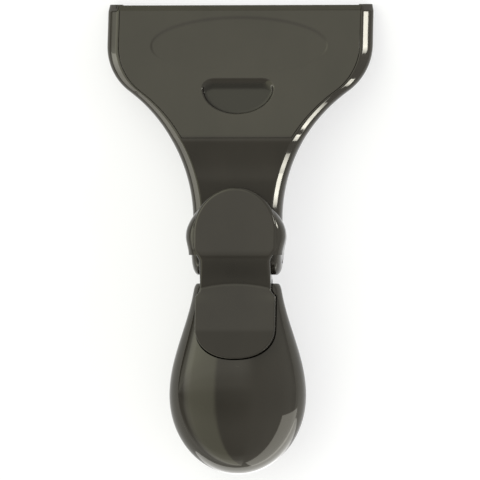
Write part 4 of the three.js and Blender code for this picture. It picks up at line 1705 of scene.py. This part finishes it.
@dataclass
class CoverPanel:
    """Slide-off cover with the bare oval and the D-shaped thumb hollow."""

    head: BladeHead
    material: Material
    gap: float = 0.1
    edge_round: float = 0.16
    oval_y: float = 58.0
    oval_half: Point2 = (25.5, 8.6)
    oval_sink: float = 0.15
    oval_sides: int = 120
    thumb_front_y: float = 48.2
    thumb_back_y: float = 38.4
    thumb_half: float = 10.1
    thumb_corner: Point2 = (3.2, 2.6)
    thumb_sink: float = 1.4
    thumb_wall: float = 2.0
    thumb_steps: tuple[int, int] = (48, 8)
    tool_top: float = 3.0
    bend_steps: int = 14
    nose_steps: int = 8
    oval_edge: tuple[Point2, ...] = (
        (-1.0, 1.0), (-0.65, 0.96), (-0.3, 0.8), (0.0, 0.5), (0.3, 0.2), (0.65, 0.04), (1.0, -0.01),
    )
    thumb_edge: tuple[Point2, ...] = (
        (-1.2, 1.0), (-0.7, 0.985), (-0.38, 0.92), (-0.18, 0.78), (-0.06, 0.55),
        (0.0, 0.36), (0.08, 0.2), (0.22, 0.08), (0.42, 0.015), (0.6, -0.01),
    )

    def _slab(self) -> Solid:
        """Panel with a softened top edge.

        Returns:
            The closed solid.
        """
        head, edge = self.head, self.edge_round
        outline = closed(head.panel_edge(-self.gap, self.gap, head.plate_length))
        levels = [(0.0, level(-head.cover_thickness))]
        levels += [(-edge * inward, level(-edge * down)) for inward, down in quarter_round(LIP_STEPS)]
        return stacked(outline, levels)

    def _tool(self, rows: Sequence[float], drops: Sequence[float]) -> Solid:
        """Tool across the whole plate that cuts down to a profile.

        Args:
            rows: Places along the plate.
            drops: Height of the profile at each place.

        Returns:
            The closed solid.
        """
        shape = [*zip(rows, drops), (rows[-1], self.tool_top), (rows[0], self.tool_top)]
        return Solid.drawn(shape, (-self.head.half, self.head.half))

    def _nose(self) -> Solid:
        """Tool that cuts the sloping front edge.

        Returns:
            The closed solid.
        """
        head = self.head
        start, bend = head.plate_length - head.nose_length, 2.0 * head.nose_round
        rows = [*span(start - bend, start + bend, self.nose_steps), head.plate_length + FITS.over]
        drops = [-head.nose_drop * soft_ramp(v - start, head.nose_round) / head.nose_length for v in rows]
        return self._tool(rows, drops)

    def _bend(self) -> Solid:
        """Tool that rounds the rear edge down to the bend of the head.

        Returns:
            The closed solid.
        """
        head = self.head
        rows = span(-head.bend_round, head.bend_round, self.bend_steps)
        steep = math.sin(head.slope)
        drops = [(min(v, 0.0) * 2.0 + abs(v) - soft_ramp(v, head.bend_round)) * steep for v in rows]
        return self._tool(rows, drops)

    def _oval(self) -> Solid:
        """Tool that cuts the shallow oval.

        Returns:
            The closed solid.
        """
        middle, (wide, high) = self.head.along(self.oval_y), self.oval_half
        turns = span(0.0, FULL_TURN, self.oval_sides)[:-1]
        outline = [(wide * math.cos(turn), middle + high * math.sin(turn)) for turn in turns]
        levels = [(grow, level(-self.oval_sink * share)) for grow, share in self.oval_edge]
        return stacked(outline, [*levels, (self.oval_edge[-1][0], level(FITS.over))])

    def _thumb_outline(self) -> list[Point2]:
        """D shape: straight front with round corners and a round rear.

        Returns:
            Points across and along the plate.
        """
        front, rear = self.head.along(self.thumb_front_y), self.head.along(self.thumb_back_y)
        wide, deep = self.thumb_corner
        middle, flat = front - deep, self.thumb_half - wide
        round_steps, flat_steps = self.thumb_steps
        outline = []
        for turn in span(math.pi, FULL_TURN, round_steps):
            outline.append((self.thumb_half * math.cos(turn), middle + (middle - rear) * math.sin(turn)))
        for turn in span(0.0, QUARTER, ARC_STEPS)[1:]:
            outline.append((flat + wide * math.cos(turn), middle + deep * math.sin(turn)))
        outline += [(x, front) for x in span(flat, -flat, flat_steps)[1:-1]]
        for turn in span(QUARTER, math.pi, ARC_STEPS)[:-1]:
            outline.append((-flat + wide * math.cos(turn), middle + deep * math.sin(turn)))
        return outline

    def _thumb(self) -> Solid:
        """Tool that cuts the thumb hollow, with a rounded lip and a leaning front wall.

        Returns:
            The closed solid.
        """
        outline = self._thumb_outline()
        front = self.head.along(self.thumb_front_y)
        behind = front - 2.0 * self.thumb_corner[1]
        rings = []
        for growth, share in self.thumb_edge:
            lean, z = self.thumb_wall * max(share, 0.0), -self.thumb_sink * share
            rings.append([(x, v - lean * eased(v, behind, front), z) for x, v in grown(outline, growth)])
        rings.append([(x, v, FITS.over) for x, v, _ in rings[-1]])
        return Solid.skin(rings)

    def build(self) -> None:
        """Makes the cover."""
        head = self.head
        end = head.plate_length - head.nose_length
        rail_z = (-head.cover_thickness, head.rail_top)
        rails = Solid.block((-head.rail_half, head.rail_half), (end - head.rail_length, end), rail_z)
        tail = Solid.block((-head.tail_half, head.tail_half), (-head.tail_reach, FITS.over), rail_z)
        cover = self._slab().combine(Combine.JOIN, rails, tail)
        cover.combine(Combine.CUT, self._nose(), self._bend(), self._oval(), self._thumb())
        dress(cover.moved(head.on_plate), "blade_cover", "cover", self.material)


@dataclass
class HingeHardware:
    """Hinge core, pivot caps and lever spring, and the finishes of the small hidden parts."""

    shell: Material
    core: Material
    nylon: Material
    rubber: Material
    steel: Material
    blade_steel: Material
    tongue_half: float = 8.5
    tongue_sides: int = 96
    edge_round: float = 0.4
    edge_steps: int = 4
    bush_radius: float = 3.6
    ear_inner: float = 3.8
    ear_radius: float = 2.1
    root: float = 1.0
    screw_room: float = 3.3
    cap_edge: float = 0.1
    cap_rim: float = 0.25
    cap_dimple: float = 1.6
    dimple_depth: float = 0.3
    dimple_floor: float = 0.9
    spring_z: Point2 = (14.9, 21.35)
    spring_radius: float = 2.6
    spring_keep: float = 0.845
    spring_crease: float = 60.0
    wire: float = 0.45
    wire_sides: int = 10
    turns: float = 4.0
    turn_steps: int = 40
    dead_turns: float = 0.8
    live_rise: float = 0.7
    dead_rise: float = 0.3
    post_radius: float = 1.75
    post_height: float = 2.2
    post_chamfer: float = 0.3
    post_sides: int = 40

    def _bevel(self, edge: float) -> list[Point2]:
        """Round of an end: how far in and how far along each point lies, the face first."""
        turns = span(QUARTER, 0.0, self.edge_steps)
        return [(edge * (1.0 - math.cos(turn)), edge * (1.0 - math.sin(turn))) for turn in turns]

    def _bar(self) -> Solid:
        """Shank with rounded long edges and a rounded rear end.

        Returns:
            The closed solid.
        """
        (low, high), edge = SHANK.z, 2.0 * self.edge_round
        wide = SHANK.half - edge
        centres = ((wide, high - edge), (-wide, high - edge), (-wide, low + edge), (wide, low + edge))
        outline = []
        for corner, (x, z) in enumerate(centres):
            for turn in span(corner * QUARTER, (corner + 1) * QUARTER, LIP_STEPS):
                outline.append((x + edge * math.cos(turn), z + edge * math.sin(turn)))
        levels = [(-inward, SHANK.end_y + step) for inward, step in reversed(self._bevel(edge))]
        levels.append((0.0, -PIVOT.tongue_radius / 2.0))
        return Solid.skin([[(x, y, z) for x, z in grown(outline, grow)] for grow, y in levels])

    def _tongue(self) -> Solid:
        """Round tongue that turns inside the fork.

        Returns:
            The closed solid.
        """
        bevel = self._bevel(self.edge_round)
        profile = [(PIVOT.tongue_radius - inward, -self.tongue_half + step) for inward, step in bevel]
        profile += [(radius, -place) for radius, place in reversed(profile)]
        return Solid.turned(profile, (0.0, PIVOT.height), True, self.tongue_sides)

    def build_core(self) -> None:
        """Makes the hinge core: tongue, shank, lever ears and spring post."""
        y, z = PIVOT.lever_pin
        top = SHANK.z[1]
        post = [
            (self.post_radius, top - self.root),
            (self.post_radius, top + self.post_height - self.post_chamfer),
            (self.post_radius - self.post_chamfer, top + self.post_height),
        ]
        ears, ear_y = [], (y - self.ear_radius, y + self.ear_radius)
        for side in Side:
            inner, outer = sorted((side.value * self.ear_inner, side.value * SHANK.half))
            ears.append(Solid.rod(self.ear_radius, (inner, outer), y, z))
            ears.append(Solid.block((inner, outer), ear_y, (top - self.root, z)))
        core = self._tongue().combine(Combine.JOIN, self._bar(), *ears)
        core.combine(Combine.JOIN, Solid.turned(post, (0.0, SHANK.spring_y), False, self.post_sides))
        reach = self.tongue_half + FITS.over
        core.combine(
            Combine.CUT,
            Solid.rod(self.bush_radius + FITS.gap, (-reach, reach), 0.0, PIVOT.height),
            Solid.rod(PIVOT.lever_pin_radius + FITS.gap, (-reach, reach), y, z),
            Solid.post(self.screw_room, (0.0, SHANK.screw_y), (0.0, TALL)),
        )
        dress(core, "hinge_core", "handle", self.core)

    def build_caps(self) -> None:
        """Makes the two pivot caps, with a rounded rim and a shallow dimple."""
        inner, outer = PIVOT.cheek_outer - PIVOT.cap_thickness, PIVOT.cheek_outer
        wide, rim = PIVOT.cap_radius, self.cap_rim
        profile = [(wide - self.cap_edge, inner), (wide, inner + self.cap_edge)]
        profile += [(wide - rim * inward, outer - rim * down) for inward, down in quarter_round(LIP_STEPS)]
        for turn in span(0.0, QUARTER, LIP_STEPS + 1):
            radius = self.cap_dimple * (1.0 - self.dimple_floor * math.sin(turn))
            profile.append((radius, outer - self.dimple_depth * math.sin(turn) ** 2))
        cap = Solid.turned(profile, (0.0, PIVOT.height), True)
        dress(cap.mirrored(), "pivot_cap_left", "head", self.shell)
        dress(cap, "pivot_cap_right", "head", self.shell)

    def build_spring(self) -> None:
        """Makes the lever spring as a round wire coil with closed ends."""
        low, high = self.spring_z[0] + self.wire, self.spring_z[1] - self.wire
        dead, middle_y = self.dead_turns, SHANK.spring_y
        turns = self.turns + 2.0 * dead
        rings = []
        for share in span(0.0, 1.0, self.turn_steps * int(turns)):
            turn = share * turns
            rise = min(max((turn - dead) / self.turns, 0.0), 1.0)
            creep = (min(turn, dead) + max(turn - dead - self.turns, 0.0)) / (2.0 * dead)
            height = low + (high - low) * (self.live_rise * rise + self.dead_rise * creep)
            angle = FULL_TURN * turn
            ring = []
            for wire_turn in span(0.0, FULL_TURN, self.wire_sides)[:-1]:
                radius = self.spring_radius + self.wire * math.cos(wire_turn)
                x, y = radius * math.cos(angle), middle_y + radius * math.sin(angle)
                ring.append((x, y, height + self.wire * math.sin(wire_turn)))
            rings.append(ring)
        coil = Solid.skin(rings)
        spring = dress(coil, "lever_spring", "handle", self.steel, self.spring_crease)
        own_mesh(spring)

    def finish_small_parts(self) -> None:
        """Gives the parts that keep their CAD shape their finish."""
        finishes = {
            "pivot_bush": self.nylon,
            "thrust_washer_right": self.nylon,
            "thrust_washer_left": self.nylon,
            "lever_pin": self.steel,
            "pivot_pin": self.steel,
            "lock_shoe_right": self.rubber,
            "lock_shoe_left": self.rubber,
            "blade": self.blade_steel,
        }
        for name, material in finishes.items():
            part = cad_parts[name]
            part.data.materials.clear()
            part.data.materials.append(material)
            LOG.info("%s: %s", name, material.name)

    def build(self) -> None:
        """Makes and finishes the hinge hardware."""
        self.build_core()
        self.build_caps()
        self.build_spring()
        self.finish_small_parts()


@dataclass
class Fasteners:
    """The three screws that hold the handle shells together."""

    shells: HandleShells
    material: Material
    cross_half: float = 1.5
    cross_width: float = 0.45
    cross_depth: float = 1.1
    cross_lead: Point2 = (0.5, 0.05)
    cross_taper: Point2 = (0.35, 0.8)
    face_share: float = 0.6
    dome: Point2 = (0.5, 0.7)
    dome_steps: int = 6
    point_length: float = 2.0
    point_share: float = 0.25

    def _screw(self, place: Point2) -> Solid:
        """One pan-head screw with a cross recess, seen from the back.

        Args:
            place: Its place seen from above.

        Returns:
            The closed solid.
        """
        shells = self.shells
        face, seat, tip = shells.screw_heights(place)
        head, core = shells.screw_head_radius, shells.screw_radius
        (wide, high), (x, y) = self.dome, place
        profile = [(head * self.face_share, face)]
        profile += [(head - wide * down, face + high * up) for up, down in quarter_round(self.dome_steps)]
        profile += [(head, seat), (core, seat)]
        profile += [(core, tip - self.point_length), (core * self.point_share, tip)]
        screw = Solid.turned(profile, place, False)
        (above, below), (taper_x, taper_y) = self.cross_lead, self.cross_taper
        bars = []
        for half_x, half_y in ((self.cross_half, self.cross_width), (self.cross_width, self.cross_half)):
            mouth = [(x + u * half_x, y + v * half_y) for u, v in CORNERS]
            floor = [(x + (u - x) * taper_x, y + (v - y) * taper_y) for u, v in mouth]
            rings = [(mouth, face - above), (mouth, face + below), (floor, face + self.cross_depth)]
            bars.append(Solid.skin([[(u, v, z) for u, v in shape] for shape, z in rings]))
        return screw.combine(Combine.CUT, *bars)

    def build(self) -> None:
        """Makes the screws."""
        for number, place in enumerate(self.shells.screw_places, start=1):
            dress(self._screw(place), f"handle_screw_{number}", "handle", self.material)


@dataclass(frozen=True)
class Softbox:
    """A soft lamp.

    Args:
        name: Name of the lamp.
        target: The place that it faces, in metres.
        turn: Direction from there, in degrees from +X towards +Y.
        rise: Height of that direction above the floor, in degrees.
        distance: Distance in metres.
        size: Width and height of its face.
        bright: Brightness of its face, where 1 is white paper in the studio light.
        grid: Angle of the grid that narrows its light, in degrees.
        roll: Turn of its face about the direction that it shines in, in degrees.
        shaded: Pieces that black cards keep its light off.
        face: Shape of its face.
    """

    name: str
    target: Point3
    turn: float
    rise: float
    distance: float
    size: Point2
    bright: float
    grid: float = NO_GRID
    roll: float = 0.0
    shaded: Names = ()
    face: Face = Face.SQUARE


@dataclass(frozen=True)
class Glow:
    """Brightness and tint of the sky at an angle from straight up, in degrees."""

    angle: float
    bright: float
    tint: Point3 = (1.0, 1.0, 1.0)


SHELLS: Names = ("handle_front_shell_look", "handle_rear_shell_look")
LEVER: Names = ("release_lever_look",)
ALL_BUT_THE_FRAME: Names = SHELLS + LEVER + ("blade_cover_look",)
HEAD: Names = ("head_frame_look", "blade_cover_look", "pivot_cap_left_look", "pivot_cap_right_look")
OLIVE: Point3 = (0.97, 1.0, 0.78)
LEAF: Point3 = (0.98, 1.0, 0.94)
SKY_LOW = -1.0
SKY_SPAN = 4.0


@dataclass
class Studio:
    """Camera, white floor, soft sky and the softboxes.

    Args:
        lamps: The softboxes.
        lean: Lean of the camera to the right, in degrees.
        distance: Distance of the camera, in metres.
        frame_width: Width of the picture at the place that the camera faces, in metres.
        aim: That place.
        sensor: Width of the camera's sensor, in millimetres.
        floor_colour: Linear colour of the floor.
        floor_tones: Factors of that colour in its darker and lighter specks.
        floor_specks: Specks per metre.
        floor_lift: How far the floor is lifted towards white paper, from 0 to 1.
        floor_half: Half-width of the floor, in metres.
        floor_drop: Distance of the floor below the tool, in metres.
        along: The sky from the handle's end to the head's end.
        reach: How much of that sky there is from left to right.
        across: The sky that is added from left to right.
    """

    lamps: tuple[Softbox, ...] = (
        Softbox(
            "rim_softbox", target=(0.037, 0.05, 0.006), turn=30.6, rise=26.0, distance=0.6,
            size=(0.12, 0.1), bright=26.0, grid=18.0, shaded=SHELLS,
        ),
        Softbox(
            "flare_softbox", target=(0.021, 0.034, 0.013), turn=-20.0, rise=30.5, distance=0.4,
            size=(0.12, 0.065), bright=19.0, grid=30.0, shaded=ALL_BUT_THE_FRAME,
        ),
        Softbox(
            "neck_softbox", target=(0.012, 0.0125, 0.0155), turn=-9.5, rise=32.0, distance=0.4,
            size=(0.05, 0.04), bright=18.0, grid=14.0, shaded=ALL_BUT_THE_FRAME,
        ),
        Softbox(
            "left_softbox", target=(-0.02, 0.03, 0.013), turn=186.0, rise=22.0, distance=0.5,
            size=(0.5, 0.16), bright=2.5, shaded=SHELLS + LEVER,
        ),
        Softbox(
            "window_softbox", target=(0.012, -0.055, 0.01), turn=-48.0, rise=3.0, distance=0.08,
            size=(0.125, 0.085), bright=2.4, roll=20.0, shaded=HEAD + LEVER,
        ),
        Softbox(
            "table_softbox", target=(0.035, -0.125, 0.0004), turn=0.0, rise=-90.0, distance=0.0,
            size=(0.19, 0.12), bright=1.8, face=Face.ROUND,
        ),
    )
    lean: float = 5.0
    distance: float = 2.0
    frame_width: float = 0.13824
    aim: Point3 = (0.0006, -0.0004, 0.012)
    sensor: float = 36.0
    floor_colour: Point3 = (0.93, 0.93, 0.93)
    floor_tones: Point2 = (0.995, 1.005)
    floor_specks: float = 30.0
    floor_lift: float = 0.55
    floor_half: float = 3.0
    floor_drop: float = 0.0002
    along: tuple[Glow, ...] = (
        Glow(-90.0, 2.2), Glow(-80.0, 1.6), Glow(-70.0, 0.85), Glow(-60.0, 0.5),
        Glow(-30.0, 0.6), Glow(-8.0, 0.46), Glow(0.0, 0.54), Glow(8.6, 0.86), Glow(20.0, 1.19),
        Glow(36.0, 1.58, LEAF), Glow(62.0, 1.5, LEAF), Glow(74.0, 0.6, LEAF), Glow(84.0, 0.15),
        Glow(90.0, 0.1),
    )
    reach: tuple[Glow, ...] = (
        Glow(-90.0, 0.6), Glow(-77.0, 0.7), Glow(-70.0, 1.5), Glow(-64.0, 1.5), Glow(-55.0, 1.0),
        Glow(0.0, 1.0), Glow(17.0, 0.1), Glow(90.0, 0.1),
    )
    across: tuple[Glow, ...] = (
        Glow(-90.0, 0.0), Glow(-73.0, 0.04), Glow(-66.0, 0.5, OLIVE), Glow(-58.0, 0.88, OLIVE),
        Glow(-26.0, 0.82, OLIVE), Glow(-20.0, -0.05), Glow(-14.0, -0.05), Glow(0.0, 0.0),
        Glow(17.0, 0.62), Glow(40.0, 0.72), Glow(70.0, 0.8), Glow(90.0, 0.6),
    )

    def place_camera(self) -> None:
        """Puts the camera above the tool, leaning a little to the right, with the head up."""
        lens = bpy.data.cameras.new("photo_camera")
        lens.sensor_width = self.sensor
        lens.lens = self.sensor * self.distance / self.frame_width
        lens.clip_end = 5.0 * self.distance
        camera = bpy.data.objects.new("photo_camera", lens)
        turn = math.radians(self.lean)
        out = Vector((math.sin(turn), 0.0, math.cos(turn)))
        up = Vector((0.0, 1.0, 0.0))
        right = up.cross(out)
        turned = Matrix((right, up, out)).transposed().to_4x4()
        camera.matrix_world = Matrix.Translation(Vector(self.aim) + out * self.distance) @ turned
        bpy.context.scene.collection.objects.link(camera)
        bpy.context.scene.camera = camera

    def lay_floor(self) -> None:
        """Lays the pale floor that the tool rests on."""
        recipe = Recipe("studio_floor")
        recipe.mottled(recipe.even_noise(self.floor_specks), self.floor_colour, *self.floor_tones)
        recipe.fix(Roughness=0.9, Specular_IOR_Level=0.0)
        self._whiten(recipe)
        mesh = bpy.data.meshes.new("studio_floor")
        corners = [(u * self.floor_half, v * self.floor_half, -self.floor_drop) for u, v in CORNERS]
        mesh.from_pydata(corners, [], [(0, 1, 2, 3)])
        mesh.materials.append(recipe.material)
        floor = bpy.data.objects.new("studio_floor", mesh)
        bpy.context.scene.collection.objects.link(floor)

    def _whiten(self, recipe: Recipe) -> None:
        """Lifts what the camera and the glossy pieces see of the floor towards white paper.

        Args:
            recipe: Material of the floor.
        """
        path = recipe.node("ShaderNodeLightPath")
        seen = path.outputs["Is Camera Ray"]
        for name in ("Is Glossy Ray", "Is Transmission Ray"):
            seen = recipe.worked(Sum.LARGER, seen, path.outputs[name])
        paper = recipe.node("ShaderNodeEmission")
        blend = recipe.node("ShaderNodeMixShader")
        recipe.link(recipe.worked(Sum.PRODUCT, seen, self.floor_lift), blend.inputs["Fac"])
        recipe.link(recipe.shader.outputs["BSDF"], blend.inputs[1])
        recipe.link(paper.outputs["Emission"], blend.inputs[2])
        output = recipe.tree.nodes["Material Output"]
        recipe.link(blend.outputs["Shader"], output.inputs["Surface"])

    def light_world(self) -> None:
        """Lights the tool with a soft sky that is brighter above the head and at the sides."""
        world = bpy.data.worlds.new("studio_world")
        world.use_nodes = True
        bpy.context.scene.world = world
        tree = world.node_tree
        source = tree.nodes.new("ShaderNodeTexCoord")
        split = tree.nodes.new("ShaderNodeSeparateXYZ")
        tree.links.new(source.outputs["Generated"], split.inputs["Vector"])
        total = tree.nodes.new("ShaderNodeVectorMath")
        total.operation = "MULTIPLY_ADD"
        for i, (axis, stops) in enumerate((("Y", self.along), ("X", self.reach), ("X", self.across))):
            tree.links.new(self._band(tree, split, axis, stops), total.inputs[i])
        tree.links.new(total.outputs["Vector"], tree.nodes["Background"].inputs["Color"])

    def _band(
        self, tree: bpy.types.NodeTree, split: bpy.types.Node, axis: str, stops: Sequence[Glow]
    ) -> Socket:
        """Light by the angle from straight up towards one axis.

        Args:
            tree: Node tree of the world.
            split: Node that gives the parts of the direction.
            axis: The axis, X or Y.
            stops: The sky at several angles.

        Returns:
            The light's colour.
        """
        angle = tree.nodes.new("ShaderNodeMath")
        angle.operation = "ARCTAN2"
        tree.links.new(split.outputs[axis], angle.inputs[0])
        tree.links.new(split.outputs["Z"], angle.inputs[1])
        share = tree.nodes.new("ShaderNodeMapRange")
        share.inputs["From Min"].default_value = -QUARTER
        share.inputs["From Max"].default_value = QUARTER
        tree.links.new(angle.outputs["Value"], share.inputs["Value"])
        curve = tree.nodes.new("ShaderNodeValToRGB")
        curve.color_ramp.interpolation = "EASE"
        while len(curve.color_ramp.elements) < len(stops):
            curve.color_ramp.elements.new(0.5)
        for element, stop in zip(curve.color_ramp.elements, stops):
            element.position = (stop.angle + 90.0) / 180.0
            element.color = (*((stop.bright * part - SKY_LOW) / SKY_SPAN for part in stop.tint), 1.0)
        tree.links.new(share.outputs["Result"], curve.inputs["Fac"])
        back = tree.nodes.new("ShaderNodeVectorMath")
        back.operation = "MULTIPLY_ADD"
        back.inputs[1].default_value = (SKY_SPAN, SKY_SPAN, SKY_SPAN)
        back.inputs[2].default_value = (SKY_LOW, SKY_LOW, SKY_LOW)
        tree.links.new(curve.outputs["Color"], back.inputs[0])
        return back.outputs["Vector"]

    def hang_softbox(self, softbox: Softbox) -> None:
        """Hangs a soft lamp that the camera itself doesn't see.

        Args:
            softbox: The lamp.
        """
        lamp = bpy.data.lights.new(softbox.name, "AREA")
        lamp.shape = softbox.face.value
        lamp.size, lamp.size_y = softbox.size
        lamp.energy = softbox.bright * math.pi * softbox.size[0] * softbox.size[1]
        if softbox.grid < NO_GRID:
            lamp.spread = math.radians(softbox.grid)
            lamp.energy *= 1.0 - lamp.spread / 2.0 / math.tan(lamp.spread / 2.0)
        box = bpy.data.objects.new(softbox.name, lamp)
        turn, rise = math.radians(softbox.turn), math.radians(softbox.rise)
        out = Vector((math.cos(turn) * math.cos(rise), math.sin(turn) * math.cos(rise), math.sin(rise)))
        box.location = Vector(softbox.target) + out * softbox.distance
        facing = (-out).to_track_quat("-Z", "Y").to_matrix()
        box.rotation_euler = (facing @ Matrix.Rotation(math.radians(softbox.roll), 3, "Z")).to_euler()
        box.visible_camera = False
        bpy.context.scene.collection.objects.link(box)
        if softbox.shaded:
            self._flag(box, softbox.shaded)

    def _flag(self, box: bpy.types.Object, names: Sequence[str]) -> None:
        """Keeps a lamp's light off some pieces, as black cards do.

        Args:
            box: The lamp.
            names: Names of the pieces.
        """
        shaded = bpy.data.collections.new(box.name + "_shaded")
        for name in names:
            shaded.objects.link(bpy.data.objects[name])
        for entry in shaded.collection_objects:
            entry.light_linking.link_state = "EXCLUDE"
        box.light_linking.receiver_collection = shaded

    def build(self) -> None:
        """Sets up camera, floor and light."""
        bpy.context.scene.view_settings.view_transform = "Standard"
        self.place_camera()
        self.lay_floor()
        self.light_world()
        for lamp in self.lamps:
            self.hang_softbox(lamp)
        LOG.info("studio: camera leans %.1f degrees", self.lean)


def main() -> None:
    """Builds every sub-assembly in order, then the studio."""
    logging.basicConfig(level=logging.INFO, format="%(name)s: %(message)s")
    gloss = GlossPlastic("shell_black").build()
    core = MouldedPlastic("core_black", colour=(0.02, 0.02, 0.018)).build()
    nylon = MouldedPlastic("natural_nylon", colour=(0.60, 0.57, 0.49)).build()
    shoe_black = (0.012, 0.012, 0.012)
    rubber = MouldedPlastic("shoe_rubber", shoe_black, smooth=0.7, dull=0.85, grain=1800.0).build()
    steel = GroundSteel("turned_steel").build()
    ground = {"colour": (0.6, 0.61, 0.62), "lines": (5200.0, 120.0, 5200.0), "smooth": 0.16, "dull": 0.3}
    blade_steel = GroundSteel("blade_steel", **ground).build()
    lever = ReleaseLever(gloss)
    lever.build()
    shells = HandleShells(lever, gloss)
    shells.build()
    head = BladeHead(gloss)
    head.build()
    oval = Oval(middle=(0.0, 0.0557), half=(0.0255, 0.0082))
    up = (0.0, math.sin(head.slope), math.cos(head.slope))
    # The thumb hollow gets a rougher finish and painted shade in its colour.
    hollow = Hollow(face=(0.0, 0.0289, 0.017), up=up, front_y=0.0462)
    CoverPanel(head, GlossPlastic("cover_black", matt_oval=oval, hollow=hollow).build()).build()
    HingeHardware(gloss, core, nylon, rubber, steel, blade_steel).build()
    Fasteners(shells, steel).build()
    Studio().build()


if __name__ == "__main__":
    main()
